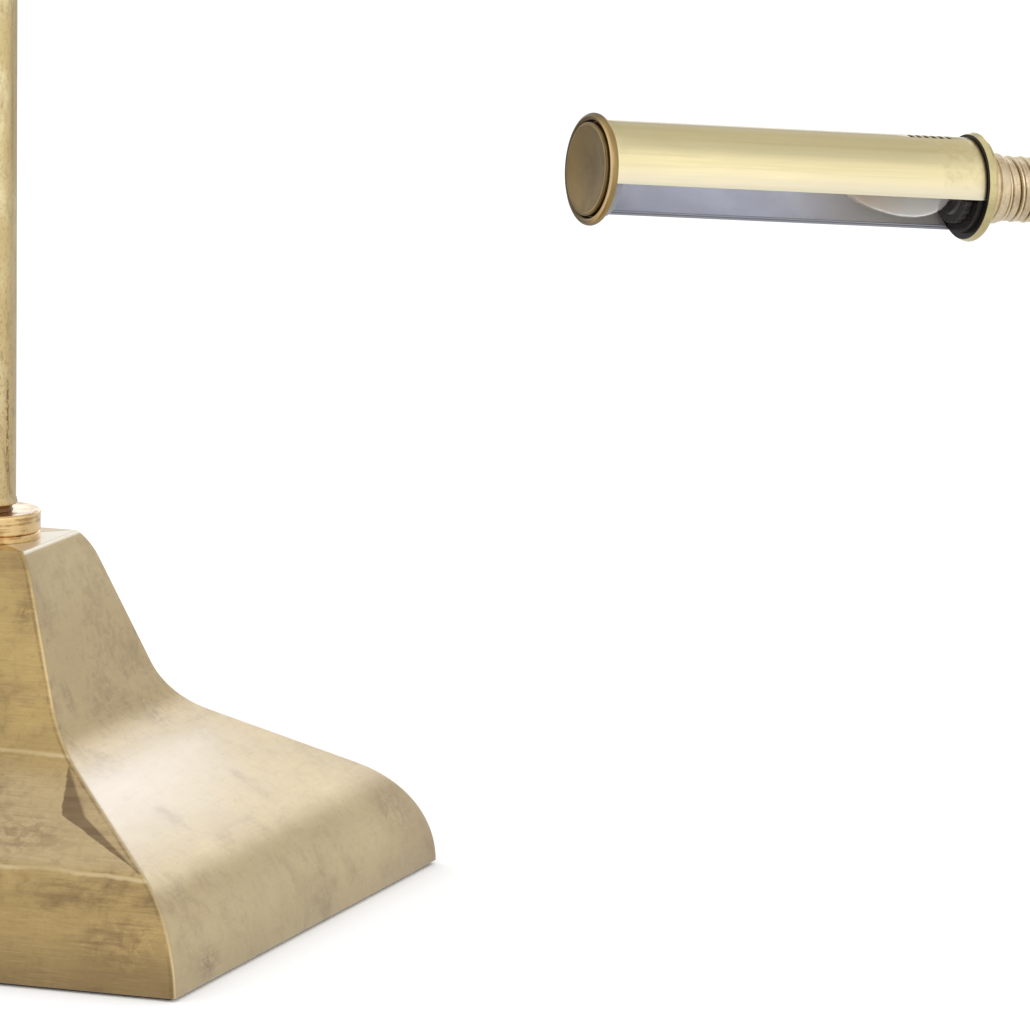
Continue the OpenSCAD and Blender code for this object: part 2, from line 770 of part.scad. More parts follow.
// Sheet of the shade, open along its slot, with vents opposite the slot
module slotted_sheet(outer, inner, from, to, edge) {
    wrap = 360 - slot_angle - 2*edge;
    at_head() rotate(slot_turn) difference() {
        rotate(-wrap/2) rotate_extrude(angle = wrap) translate([inner, from])
            square([outer - inner, to - from]);
        for (j = [0:vents - 1]) rotate(-vent_span/2) rotate_extrude(angle = vent_span)
            translate([inner - 2, vent_first + j*vent_pitch - vent_w/2])
                square([outer - inner + 4, vent_w]);
    }
}

module shade_tube() {
    color("khaki") slotted_sheet(shade_r, shade_bore, hub_gap, shade_end, 0);
}

module shade_reflector() {
    outer = shade_bore - seat_fit;
    color("lavender") slotted_sheet(outer, outer - liner_t, hub_front + seat_fit,
        shade_end - cap_spigot - seat_fit, 1);
}

module end_cap() {
    color("saddlebrown") at_head() rotate_extrude() {
        polygon([[stud_r + seat_fit, shade_end], [shade_bore - seat_fit - 2, shade_end],
            [shade_bore - seat_fit - 2, shade_end - cap_spigot],
            [shade_bore - seat_fit, shade_end - cap_spigot], [shade_bore - seat_fit, shade_end],
            [bead_ring, shade_end], [bead_ring, button_h], [stud_r + seat_fit, button_h]]);
        translate([bead_ring, bead_h]) circle(bead_r);
    }
}

module cap_button() {
    edge = 0.8;
    front = button_h + button_t;
    rim = button_r - 1.6;
    dish_radius = (rim*rim + button_dish*button_dish)/(2*button_dish);
    color("sienna") at_head() {
        rotate_extrude() difference() {
            polygon([[0, button_h], [button_r, button_h], [button_r, front - edge],
                [button_r - edge, front], [0, front]]);
            translate([0, front - button_dish + dish_radius]) intersection() {
                circle(dish_radius, $fn = 360);
                translate([0, -dish_radius]) square([rim + 1, dish_radius]);
            }
        }
        translate([0, 0, shade_end - cap_spigot - 2])
            cylinder(r = stud_r, h = button_h - shade_end + cap_spigot + 2);
    }
}

module cap_nut() {
    color("silver") at_head() translate([0, 0, shade_end - cap_nut_h])
        hex_nut(stud_r + 2, stud_r + seat_fit, cap_nut_h);
}

base_shell();
rim_frame();
base_plate();
felt_sheet();
ballast_weight();
plate_screws();
cord_grommet();
tie_rod();
lock_washer();
lock_nut();
collar_flange();
collar_ring();
pole_spacer();
pole_tube();
pole_plug();
guide_bush();
clamp_collar();
thumbscrew();
riser_tube();
riser_foot();
switch_housing();
housing_lid();
switch_body();
switch_nut();
switch_knob();
swivel_bush();
swivel_ferrule();
swivel_nut();
crook_tube();
crook_ferrule();
neck_link_1();
neck_link_2();
neck_link_3();
neck_link_4();
neck_link_5();
neck_link_6();
neck_ferrule();
rear_flange();
heat_shield();
lampholder();
holder_contact();
shade_ring();
bulb_cap();
bulb_glass();
bulb_filament();
shade_hub();
shade_tube();
shade_reflector();
end_cap();
cap_button();
cap_nut();
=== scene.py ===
"""Looks of a brass reading floor lamp: ogee base, telescopic pole, crook, ribbed neck and tubular shade."""

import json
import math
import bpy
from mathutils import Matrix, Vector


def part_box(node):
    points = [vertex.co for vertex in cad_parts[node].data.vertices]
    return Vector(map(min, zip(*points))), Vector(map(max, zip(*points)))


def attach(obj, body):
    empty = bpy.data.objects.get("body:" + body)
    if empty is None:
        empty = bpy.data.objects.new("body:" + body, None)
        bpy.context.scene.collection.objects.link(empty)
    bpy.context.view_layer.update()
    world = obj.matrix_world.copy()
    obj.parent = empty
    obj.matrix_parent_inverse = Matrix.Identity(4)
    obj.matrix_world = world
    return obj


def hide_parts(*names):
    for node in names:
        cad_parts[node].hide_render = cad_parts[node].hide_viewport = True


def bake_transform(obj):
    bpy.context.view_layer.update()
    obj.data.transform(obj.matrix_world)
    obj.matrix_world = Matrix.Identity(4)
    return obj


bl_info = {
    "name": "Brass Reading Lamp",
    "version": (1, 0, 0),
    "blender": (4, 5, 0),
    "location": "View3D > Sidebar > Reading Lamp",
    "description": "Dresses the frame of a brass reading lamp and sets a plain studio round it",
    "category": "Object",
}

import bmesh
import bpy
from bpy.props import FloatProperty, FloatVectorProperty, IntProperty, PointerProperty
from mathutils import Matrix, Vector

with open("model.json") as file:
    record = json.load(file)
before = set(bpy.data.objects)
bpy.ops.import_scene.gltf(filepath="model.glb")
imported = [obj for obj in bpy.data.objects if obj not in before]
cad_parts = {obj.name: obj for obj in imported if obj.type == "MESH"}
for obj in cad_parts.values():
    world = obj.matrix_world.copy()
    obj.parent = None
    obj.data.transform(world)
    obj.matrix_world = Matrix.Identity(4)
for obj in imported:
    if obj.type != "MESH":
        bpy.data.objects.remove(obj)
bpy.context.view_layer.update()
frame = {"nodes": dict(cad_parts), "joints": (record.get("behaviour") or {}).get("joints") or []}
# Materials by the names of their slots
FINISHES = {}


def joint_of(name):
    """The frame's joint of that name."""
    return next(joint for joint in frame["joints"] if joint["name"] == name)


def hinge_place(name):
    """Place of a hinge in the row frame, in metres."""
    return Vector(joint_of(name)["pos_m"])


# Places and sizes read from the frame, and the bodies along the neck
BASE_LOW, BASE_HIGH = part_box("base_shell")
POLE_LOW, POLE_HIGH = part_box("pole_tube")
HEAD = hinge_place("shade_turn")
HEAD_AXIS = Vector(joint_of("shade_turn")["axis"])
HEAD_TILT = math.asin(HEAD_AXIS.z)
HEAD_FRAME = Matrix.Translation(HEAD) @ Matrix.Rotation(HEAD_TILT - math.pi/2, 4, "Y")
HEAD_RISE = HEAD_FRAME.to_3x3().col[0]
HEAD_BACK = HEAD_FRAME.to_3x3().col[1]
NECK_HINGES = [hinge_place(f"neck_bend_{k}") for k in range(1, 6)]
NECK_BODIES = ["arm", "neck_2", "neck_3", "neck_4", "neck_5", "head"]
LINK = (NECK_HINGES[0] - NECK_HINGES[1]).length

# Place of the pieces that are turned round the pole's axis
UPRIGHT = Matrix.Identity(4)
# Edges sharper than this stay sharp
SHARP_ANGLE = math.radians(38)
# Sizes that several pieces share: the wires' way, the neck's spigots, the shade's slot and its end
WIRE_BORE = 0.0032
SPIGOT = 0.0097
SLOT_ANGLE = math.radians(101)
SLOT_TURN = math.radians(30)
SHADE_END = 0.1826
# Middle radius and wall of the shade's two sheets
SHADE_SHEET = 0.0214, 0.0012
LINING_SHEET = 0.0204, 0.0007
# Painted shade in the vents' cut walls
VENT_SHADE = (0.10, 0.075, 0.035)
# Heights of the base's two creases
CREASE_HIGH = 0.0809
CREASE_LOW = 0.0452
# Stains of the base: place, reach across and upwards, and depth of tone
BASE_STAINS = [
    ((0.012, -0.065, 0.100), 0.006, 0.012, 0.70),
    ((-0.004, -0.054, 0.135), 0.006, 0.018, 0.60),
    ((0.048, -0.009, 0.138), 0.006, 0.005, 0.40),
    ((0.066, -0.028, 0.081), 0.018, 0.010, 0.40),
    ((0.025, -0.186, 0.009), 0.014, 0.008, 0.65),
    ((0.016, -0.175, 0.038), 0.012, 0.008, 0.25),
    ((-0.017, -0.191, 0.019), 0.024, 0.015, 0.60),
    ((-0.031, -0.124, 0.055), 0.030, 0.009, 0.45),
    ((0.182, -0.016, 0.032), 0.022, 0.014, 0.35),
]


def length(label, text, metres):
    """A length for the sidebar."""
    return FloatProperty(name=label, description=text, default=metres, unit="LENGTH")


def angle(label, text, degrees):
    """An angle for the sidebar."""
    return FloatProperty(name=label, description=text, default=math.radians(degrees), subtype="ANGLE")


def colour(label, text, *parts):
    """A colour for the sidebar."""
    return FloatVectorProperty(name=label, description=text, default=parts, subtype="COLOR")


class LampSizes(bpy.types.PropertyGroup):
    """Sizes of the lamp's skins that the frame doesn't give."""

    shell_wall: length("Shell wall", "Sheet of the raised base", 0.0022)
    foot_radius: length("Foot radius", "Bullnose round the foot of the base", 0.054)
    skirt_slope: angle("Skirt slope", "Slope above the bullnose", 30)
    stem_slope: angle("Stem slope", "Slope of the upper stem", 70)
    blend_radius: length("Blend radius", "Hollow between skirt and stem", 0.044)
    brow_radius: length("Brow radius", "Soft brow round the top flat", 0.040)
    brow_turn: angle("Brow turn", "Turn of the brow", 20)
    top_width: length("Top width", "Width of the flat on top of the base", 0.0594)
    ridge_radius: length("Ridge radius", "Rounding of the soldered ridges", 0.0009)
    rib_pitch: length("Rib pitch", "Lead of the neck's winding", 0.00629)
    neck_radius: length("Neck radius", "Radius of the neck's flat bands", 0.01425)
    neck_curl: length("Neck curl", "Radius of the neck's bend", 0.105)
    neck_tail: length("Neck tail", "Straight length behind the head", 0.0205)
    neck_sides: IntProperty(name="Neck sides", description="Points round the neck", default=40, min=12)
    knurls: IntProperty(name="Knurls", description="Ridges round a knurled grip", default=30, min=8)


class LampColours(bpy.types.PropertyGroup):
    """Colours of the lamp's finishes."""

    # Pale and golden brass of the base: partly the faces' own finish, partly painted light, the pale pair
    # lighter and the golden pair darker as the light falls on them
    pale: colour("Pale brass", "Rubbed faces of the base", 0.51, 0.395, 0.20)
    golden: colour("Golden brass", "Warmer faces of the base", 0.50, 0.352, 0.138)
    brown: colour("Brown tarnish", "Stains and streaks", 0.26, 0.165, 0.07)
    polished: colour("Polished brass", "Shade", 0.82, 0.715, 0.415)
    satin: colour("Satin brass", "Riser, crook and fittings", 0.62, 0.485, 0.235)
    warm: colour("Warm brass", "Collar", 0.80, 0.555, 0.25)
    rosy: colour("Rosy brass", "Neck", 0.77, 0.63, 0.42)
    antique: colour("Antique brass", "End cap", 0.20, 0.138, 0.056)
    enamel: colour("Enamel", "Inside of the shade", 0.66, 0.675, 0.76)


class Value:
    """A socket of a node tree that can stand in a Python expression."""

    def __init__(self, graph, socket):
        self.graph = graph
        self.socket = socket

    def math(self, operation, *values):
        """One Math node."""
        return self.graph.node("ShaderNodeMath", {"operation": operation}, dict(enumerate(values)))

    def __add__(self, other):
        return self.math("ADD", self, other)

    def __sub__(self, other):
        return self.math("SUBTRACT", self, other)

    def __rsub__(self, other):
        return self.math("SUBTRACT", other, self)

    def __mul__(self, other):
        return self.math("MULTIPLY", self, other)

    def __truediv__(self, other):
        return self.math("DIVIDE", self, other)

    def __neg__(self):
        return self.math("MULTIPLY", self, -1.0)

    def __abs__(self):
        return self.math("ABSOLUTE", self)

    __radd__ = __add__
    __rmul__ = __mul__


class Graph:
    """Builds the nodes of one tree."""

    def __init__(self, tree):
        self.tree = tree

    def node(self, kind, settings=None, values=None, output=0):
        """Adds a node, sets it and feeds its sockets; gives one of its outputs."""
        made = self.tree.nodes.new(kind)
        for name, setting in (settings or {}).items():
            setattr(made, name, setting)
        for name, value in (values or {}).items():
            self.feed(made.inputs[name], value)
        return Value(self, made.outputs[output])

    def feed(self, socket, value):
        """Links or sets one socket."""
        if isinstance(value, Value):
            self.tree.links.new(value.socket, socket)
        elif socket.type == "RGBA":
            socket.default_value = (*value[:3], 1.0)
        else:
            socket.default_value = value

    def mix(self, mask, first, second):
        """First colour where the mask is 0, second where it is 1."""
        return self.node("ShaderNodeMix", {"data_type": "RGBA"}, {0: mask, 6: first, 7: second}, 2)

    def band(self, value, low, high):
        """Smooth step of a value: 0 at low and 1 at high, whichever of the two is larger."""
        return self.node("ShaderNodeMapRange", {"interpolation_type": "SMOOTHSTEP"},
                         {"Value": value, "From Min": low, "From Max": high})

    def zone(self, value, low, start, end, high):
        """1 from start to end, falling to 0 at low and at high."""
        return self.band(value, low, start)*self.band(value, high, end)

    def vector(self, operation, *values):
        """One Vector Math node; a length and a dot product are numbers."""
        output = "Value" if operation in ("LENGTH", "DOT_PRODUCT") else "Vector"
        return self.node("ShaderNodeVectorMath", {"operation": operation}, dict(enumerate(values)), output)

    def split(self, vector):
        """The three numbers of a vector."""
        first = self.node("ShaderNodeSeparateXYZ", None, {0: vector})
        return [Value(self, part) for part in first.socket.node.outputs]

    def rays(self, *kinds):
        """Masks of the kinds of ray that arrive."""
        outputs = self.tree.nodes.new("ShaderNodeLightPath").outputs
        return [Value(self, outputs[f"Is {kind} Ray"]) for kind in kinds]


def tint(tone, share):
    """A colour made darker or lighter."""
    return [min(part*share, 1.0) for part in tone]


class Finish(Graph):
    """One material round a Principled shader, in the row frame's own coordinates."""

    def __init__(self, name):
        self.material = bpy.data.materials.new(name)
        FINISHES[name] = self.material
        self.material.use_nodes = True
        super().__init__(self.material.node_tree)
        self.shader = self.tree.nodes["Principled BSDF"]
        self.place = self.node("ShaderNodeTexCoord", output="Object")
        self.tone = None

    def clouded(self, cloud, low, high, tone, dark, light):
        """Starts the tone as a colour that a cloud turns darker and lighter."""
        self.tone = self.mix(self.band(cloud, low, high), tint(tone, dark), tint(tone, light))

    def paint(self, mask, tone):
        """Lays a colour over the tone where the mask is 1."""
        self.tone = self.mix(mask, self.tone, tone)

    def surface(self, **sockets):
        """Feeds the tone and the shader's other sockets, written with underscores."""
        self.feed(self.shader.inputs["Base Color"], self.tone)
        for name, value in sockets.items():
            self.feed(self.shader.inputs[name.replace("_", " ").title().replace("Ior", "IOR")], value)

    def stretched(self, scale, turn=(0.0, 0.0, 0.0), vector=None):
        """The place, turned and scaled along its axes."""
        return self.node("ShaderNodeMapping", None,
                         {"Vector": vector or self.place, "Rotation": turn, "Scale": scale})

    def noise(self, vector, scale, detail=4.0, roughness=0.55, distortion=0.0):
        """Soft noise from 0 to 1."""
        return self.node("ShaderNodeTexNoise", None,
                         {"Vector": vector, "Scale": scale, "Detail": detail, "Roughness": roughness,
                          "Distortion": distortion})

    def relief(self, height, distance):
        """Bump of the shader's normal, with its depth in metres."""
        bump = self.node("ShaderNodeBump", None, {"Height": height, "Distance": distance, "Strength": 1.0})
        self.feed(self.shader.inputs["Normal"], bump)


def brass(name, tone, stain, rough, stained, grain, coat, relief, close=1.0, streak=0.25):
    """Aged brass: clouded tone, brown stains and a fine grain along the piece."""
    finish = Finish(name)
    cloud = finish.noise(finish.place, 26.0*close, 5.0, 0.6, 0.4)
    blotch = finish.noise(finish.place, 80.0*close, 6.0, 0.62, 0.2)
    hair = finish.noise(finish.stretched(grain), 14.0, 3.0)
    pits = finish.noise(finish.place, 900.0, 2.0)
    mask = finish.band(blotch + (hair - 0.5)*streak, 0.455, 0.755)*stained
    finish.clouded(cloud, 0.35, 0.68, tone, 0.88, 1.12)
    finish.paint(mask, stain)
    finish.paint(finish.band(pits, 0.70, 0.80)*0.35, stain)
    finish.relief(cloud*0.6 + hair*0.35 + blotch*0.3, relief)
    finish.surface(metallic=1.0, roughness=hair*0.14 + mask*0.2 + (rough - 0.07), coat_weight=coat,
                   coat_roughness=0.12)


class BaseBrass(Finish):
    """Raised sheet brass of the base, with the places and noises that its coats share."""

    def __init__(self, colours):
        super().__init__("base_brass")
        self.colours = colours
        turn = (0.0, 0.0, -math.pi/4)
        self.across, self.along, self.height = self.split(self.stretched((1.0, 1.0, 1.0), turn))
        self.inward = abs(self.across) - abs(self.along)
        # Golden and pale pairs of faces: their tones differ partly by their own finish and partly by painted
        # light and shade
        self.golden = self.band(self.inward, -0.0003, 0.0003)
        self.pale = 1.0 - self.golden
        self.cloud = self.noise(self.place, 16.0, 6.0, 0.6, 0.4)
        self.patch = self.noise(self.stretched((1.0, 1.0, 1.6), turn), 24.0, 6.0, 0.62, 0.3)
        self.smudge = self.noise(self.stretched((1.0, 1.0, 0.8), turn), 52.0, 7.0, 0.66, 0.3)
        self.hair = self.noise(self.stretched((46.0, 46.0, 600.0), turn), 1.0, 6.0, 0.66, 0.5)
        self.rub = self.noise(self.stretched((60.0, 60.0, 1500.0), turn), 1.0, 3.0)
        self.mottle = self.noise(self.place, 210.0, 6.0, 0.70, 0.6)

    def lay_sheet(self):
        """Pale and golden faces (partly painted light), fairer in clouds, and lighter between the creases as
        a painted reflection.
        """
        pale, golden = self.colours.pale, self.colours.golden
        self.tone = self.mix(self.golden, pale, golden)
        fair = self.mix(self.golden, tint(pale, 1.2), tint(golden, 1.22))
        self.paint(self.band(self.cloud, 0.38, 0.66)*0.7, fair)
        # Painted reflection: the golden faces lighter between the creases
        between = self.zone(self.height, CREASE_LOW - 0.001, CREASE_LOW + 0.004, CREASE_HIGH - 0.012,
                            CREASE_HIGH)
        self.paint(between*self.golden*0.55, (0.68, 0.54, 0.33))

    def lay_tarnish(self):
        """Brown clouds, streaks and smudges, heavier on golden faces and low down; gives their roughness."""
        patch, smudge, golden = self.patch, self.smudge, self.golden
        low = self.band(self.height, 0.075, 0.012)
        gathered = self.band(patch, 0.44, 0.66)
        streaks = self.band(self.hair, 0.44, 0.66)*(gathered*0.75 + 0.25)*(golden*(low*0.52 + 0.28) + 0.06)
        clouds = self.band(patch + (smudge - 0.5)*0.8, 0.46, 0.74)*(golden*(low*0.46 + 0.16) + 0.24)
        smudges = self.band(smudge, 0.50, 0.76)*gathered*(golden*(low*0.45 + 0.22) + 0.36)
        mottles = self.band(self.mottle, 0.46, 0.74)*(golden*0.12 + 0.22)
        for mask in (clouds, streaks, smudges, mottles):
            self.paint(mask, self.colours.brown)
        return smudges*0.25 + streaks*0.15

    def lay_wear(self):
        """Painted highlight on the skirt, golden tint and worn patches on the stem, and painted reflection on
        the top flat of the pale faces.
        """
        skirt = self.zone(self.height, 0.040, 0.070, 0.070, 0.086)*self.pale
        # Painted highlight: the pale faces' skirt lighter towards one end of each face
        rubbed = self.band(self.across + (self.cloud - 0.5)*0.12, 0.110, -0.060)*skirt
        self.paint(rubbed*0.84, (0.84, 0.76, 0.67))
        stem = self.zone(self.height, 0.068, 0.084, 0.120, 0.150)*self.pale
        worn = self.band(self.patch + (self.mottle - 0.5)*0.8, 0.44, 0.68)
        self.paint(stem*0.5, tint(self.colours.golden, 0.92))
        self.paint(stem*worn*0.36, self.colours.brown)
        # Painted reflection: the top flat and its brow lighter on the pale faces
        flat = self.band(self.height, BASE_HIGH.z - 0.0016, BASE_HIGH.z - 0.0008)*self.pale
        self.paint(flat*0.8, (0.84, 0.78, 0.66))

    def lay_grime(self):
        """Painted shade at the foot of the golden faces, darker patches low down, a darker far corner of the
        pale faces, pits, rubbed lines and the larger stains.
        """
        brown, golden = self.colours.brown, self.golden
        # Painted shade: the golden faces darker towards the foot
        self.paint(self.band(self.height, 0.046, 0.002)*golden*0.48, tint(brown, 0.8))
        # Darker patches towards the bottom
        low_patches = self.band(self.height, 0.026, 0.003)*self.band(self.cloud + self.smudge*0.5, 0.55, 0.95)
        self.paint(low_patches*(golden*0.50 + 0.22), brown)
        corner = self.band(self.across + (self.patch - 0.5)*0.09, 0.075, 0.150)*self.pale
        self.paint(corner*0.38, brown)
        pits = self.noise(self.place, 520.0, 3.0, 0.6)
        self.paint(self.band(pits, 0.69, 0.77)*0.5, brown)
        self.paint(self.band(self.rub, 0.56, 0.72)*(golden*0.10 + 0.05), brown)
        self.paint(self.band(self.rub, 0.44, 0.30)*(golden*0.07 + 0.04), (0.80, 0.64, 0.36))
        ragged = (self.smudge - 0.5)*1.6 + (self.mottle - 0.5)*2.4
        broken = self.band(self.mottle + self.hair*0.4, 0.55, 0.85)
        for place, wide, tall, weight in BASE_STAINS:
            offset = self.vector("SUBTRACT", self.place, place)
            away = self.vector("LENGTH", self.vector("DIVIDE", offset, (wide, wide, tall)))
            self.paint(self.band(away + ragged, 1.2, 0.30)*broken*weight, tint(brown, 0.8))

    def lay_creases(self):
        """Painted reflection: a dark wedge beside the near ridge; painted highlights along the creases and
        the ridges, and a dark seam beside the ridges.
        """
        peak, width = 0.0625, 0.022
        brown, cloud, smudge = self.colours.brown, self.cloud, self.smudge
        near = self.band(-self.across, 0.0, 0.001)*self.band(-self.along, 0.0, 0.001)*self.golden
        rise = (CREASE_HIGH - self.height)/(CREASE_HIGH - peak)
        fall = (self.height - CREASE_LOW)/(peak - CREASE_LOW)
        reach = rise.math("MINIMUM", rise, fall)*width
        ragged = (self.patch - 0.5)*0.008 + (smudge - 0.5)*0.004
        # Painted reflection: a dark wedge of the near ridge mirrored in the golden face, darkest at its rim
        wedge = self.band(reach - self.inward + ragged, 0.0, 0.0010)*near
        rim = self.band(self.inward - reach*0.42, 0.0, 0.002)
        self.paint(wedge*(rim*0.78 + 0.08 + self.band(self.hair, 0.4, 0.6)*0.14), tint(brown, 0.8))
        # Painted highlights: light lines along the two creases of the golden faces
        for level in (CREASE_HIGH, CREASE_LOW):
            line = self.band(abs(self.height - level + (cloud - 0.5)*0.006), 0.0011, 0.0002)*self.golden
            self.paint(line*self.band(cloud + smudge*0.4, 0.42, 0.80)*0.58, (0.84, 0.68, 0.40))
        # Painted highlight: a light line along the ridges
        ridge = self.band(abs(self.inward), 0.0010, 0.0003)*self.band(cloud + smudge*0.6, 0.55, 1.0)
        self.paint(ridge*0.45, (0.84, 0.70, 0.42))
        seam = self.zone(self.inward, 0.0010, 0.0016, 0.0020, 0.0030)
        self.paint(seam*self.band(smudge + self.hair*0.5, 0.55, 0.95)*0.6, tint(brown, 0.7))


def base_brass(colours):
    """Raised sheet brass: pale faces and golden faces with streaks, told apart partly by painted light, with
    painted highlights, reflections and shade, creases and stains.
    """
    finish = BaseBrass(colours)
    finish.lay_sheet()
    tarnished = finish.lay_tarnish()
    finish.lay_wear()
    finish.lay_grime()
    finish.lay_creases()
    finish.relief(finish.cloud + finish.smudge*0.25 + finish.rub*0.16, 0.00016)
    finish.surface(metallic=1.0, roughness=0.37 + finish.rub*0.10 + tarnished, coat_weight=0.55,
                   coat_roughness=0.22)


def pole_brass(colours):
    """Drawn tube with lines along it, browner towards its foot, painted shade down its side to the view's
    right, and a row of pits along a seam.
    """
    seam_x, seam_y = 0.925, 0.381
    # The view's right, across the pole
    right_x, right_y = 0.908, -0.419
    foot = POLE_LOW.z
    finish = Finish("pole_brass")
    band, paint = finish.band, finish.paint
    across, along, height = finish.split(finish.place)
    cloud = finish.noise(finish.stretched((60.0, 60.0, 30.0)), 1.0, 5.0, 0.6, 0.4)
    lines = finish.noise(finish.stretched((230.0, 230.0, 60.0)), 1.0, 6.0, 0.68, 0.6)
    fine = finish.noise(finish.stretched((900.0, 900.0, 520.0)), 1.0, 4.0, 0.65)
    low = band(height + (cloud - 0.5)*0.06, foot + 0.14, foot + 0.015)
    worn = band(lines + (cloud - 0.5)*0.4, 0.48, 0.72)*(low*0.2 + 0.55)
    # Painted shade: the pole's side towards the view's right darker
    painted_shade_side = band(across*right_x + along*right_y, 0.0060, 0.0112)
    seam = band(abs(across*seam_x + along*seam_y), 0.0010, 0.0003)*band(-along, 0.0, 0.001)
    pitted = seam*finish.zone(height, foot + 0.005, foot + 0.02, foot + 0.046, foot + 0.062)
    finish.tone = finish.mix(band(cloud, 0.36, 0.66), (0.66, 0.515, 0.245), (0.88, 0.755, 0.45))
    paint(low*0.6, (0.54, 0.38, 0.17))
    paint(worn, colours.brown)
    paint(band(fine, 0.50, 0.70)*(low*0.30 + 0.38), colours.brown)
    paint(painted_shade_side*0.42, (0.42, 0.31, 0.14))
    paint(pitted*band(fine, 0.40, 0.55)*0.8, (0.16, 0.09, 0.035))
    finish.relief(lines*0.6 + cloud*0.5 + fine*0.25, 0.00012)
    finish.surface(metallic=1.0, roughness=0.25 + lines*0.10 + worn*0.2, coat_weight=0.4, coat_roughness=0.12)


def neck_brass(colours):
    """Strip-wound brass, dark in its grooves from tarnish and painted shade, lighter on its beads from
    rubbing and a painted highlight.
    """
    finish = Finish("neck_brass")
    groove, bead = [finish.node("ShaderNodeAttribute", {"attribute_name": name}, output="Fac")
                    for name in ("groove", "bead")]
    cloud = finish.noise(finish.place, 60.0, 5.0, 0.6, 0.5)
    hair = finish.noise(finish.place, 700.0, 3.0)
    finish.clouded(cloud, 0.36, 0.66, colours.rosy, 0.80, 1.15)
    finish.paint(finish.band(cloud + hair*0.3, 0.60, 0.86)*0.5, colours.brown)
    # Rubbing and a painted highlight: the beads lighter
    finish.paint(bead*0.7, (0.92, 0.80, 0.56))
    # Tarnish and painted shade: the grooves darker
    finish.paint(groove*0.88, (0.075, 0.040, 0.02))
    finish.relief(cloud*0.5 + hair*0.3, 0.00005)
    finish.surface(metallic=1.0, roughness=0.25 + hair*0.10 + groove*0.25, coat_weight=0.3,
                   coat_roughness=0.15)


def along_head(finish, direction):
    """Distance from the head's hinge along a direction."""
    return finish.vector("DOT_PRODUCT", finish.vector("SUBTRACT", finish.place, HEAD), direction)


def head_spread(finish):
    """Distance out from the head's axis."""
    local = finish.vector("SUBTRACT", finish.place, HEAD)
    return finish.vector("LENGTH", finish.vector("CROSS_PRODUCT", local, HEAD_AXIS))


def slot_edge(finish, side):
    """Distance past the slot's far edge (side 1) or near edge (side -1); far below 0 on the other side."""
    turn = SLOT_TURN + side*(math.pi - SLOT_ANGLE/2)
    toward = (HEAD_BACK*math.cos(turn) - HEAD_RISE*math.sin(turn))*side
    return along_head(finish, toward) - finish.band(along_head(finish, HEAD_BACK)*side, 0.001, 0.0)


def vent_walls(finish, middle, wall):
    """Mask of the vents' cut walls, inside a sheet on the shade's upper side."""
    inside = finish.band(abs(head_spread(finish) - middle), wall*0.5 - 0.0001, wall*0.5 - 0.0002)
    beside = finish.zone(along_head(finish, HEAD_AXIS), 0.008, 0.009, 0.034, 0.035)
    return inside*beside*finish.band(along_head(finish, HEAD_RISE), 0.011, 0.012)


def shade_brass(colours):
    """Polished brass tube with drawing lines along it and a clouded patch by the flange, with painted shade
    along its top and painted light on its lower side and near edge.
    """
    finish = Finish("shade_brass")
    band, paint = finish.band, finish.paint
    reach = along_head(finish, HEAD_AXIS)
    rise = along_head(finish, HEAD_RISE)
    aligned = finish.stretched((1.0, 1.0, 1.0), (0.0, -HEAD_TILT, 0.0))
    cloud = finish.noise(finish.stretched((0.25, 1.0, 1.0), vector=aligned), 34.0, 5.0, 0.55, 0.3)
    drawn = finish.noise(finish.stretched((6.0, 260.0, 260.0), vector=aligned), 3.0, 4.0)
    mottle = finish.noise(finish.place, 260.0, 6.0, 0.7, 0.4)
    patch = band(reach + (cloud - 0.5)*0.004, 0.0222, 0.0205)
    # Enamel on the slot's far edge, darkened as painted shade
    painted = band(slot_edge(finish, 1.0), -0.0009, -0.0005)
    finish.clouded(cloud, 0.35, 0.70, colours.polished, 0.93, 1.07)
    paint(band(drawn, 0.48, 0.72)*0.35, tint(colours.polished, 0.82))
    paint(patch*band(mottle, 0.44, 0.66)*0.30, (0.50, 0.42, 0.18))
    paint(band(mottle + cloud*0.4, 0.86, 1.0)*0.25, colours.brown)
    # Painted shade: the tube darker along its top
    paint(band(rise, 0.0150, 0.0212)*0.55, (0.52, 0.42, 0.185))
    # Painted reflection: the tube lighter on its lower side
    paint(band(rise, 0.008, -0.004)*0.62, (0.96, 0.88, 0.72))
    # Painted reflection: a dark line along the tube's crest
    paint(band(rise, 0.0211, 0.0218)*0.45, (0.25, 0.20, 0.12))
    paint(band(reach, 0.0042, 0.0006)*0.40, (0.46, 0.29, 0.12))
    # Painted shade in the vents' cut walls
    paint(vent_walls(finish, *SHADE_SHEET), VENT_SHADE)
    # Painted highlight: a light line on the slot's near edge
    paint(band(slot_edge(finish, -1.0), -0.0012, -0.0008)*0.75, (0.97, 0.90, 0.66))
    # Enamel on the far edge, painted in shade
    paint(painted, tint(colours.enamel, 0.36))
    finish.relief(drawn*0.5 + cloud*0.6 + patch*mottle*0.5, 0.00004)
    finish.surface(metallic=1.0 - painted, roughness=0.21 + drawn*0.08 + patch*mottle*0.16 + painted*0.2,
                   coat_weight=0.10, coat_roughness=0.08)


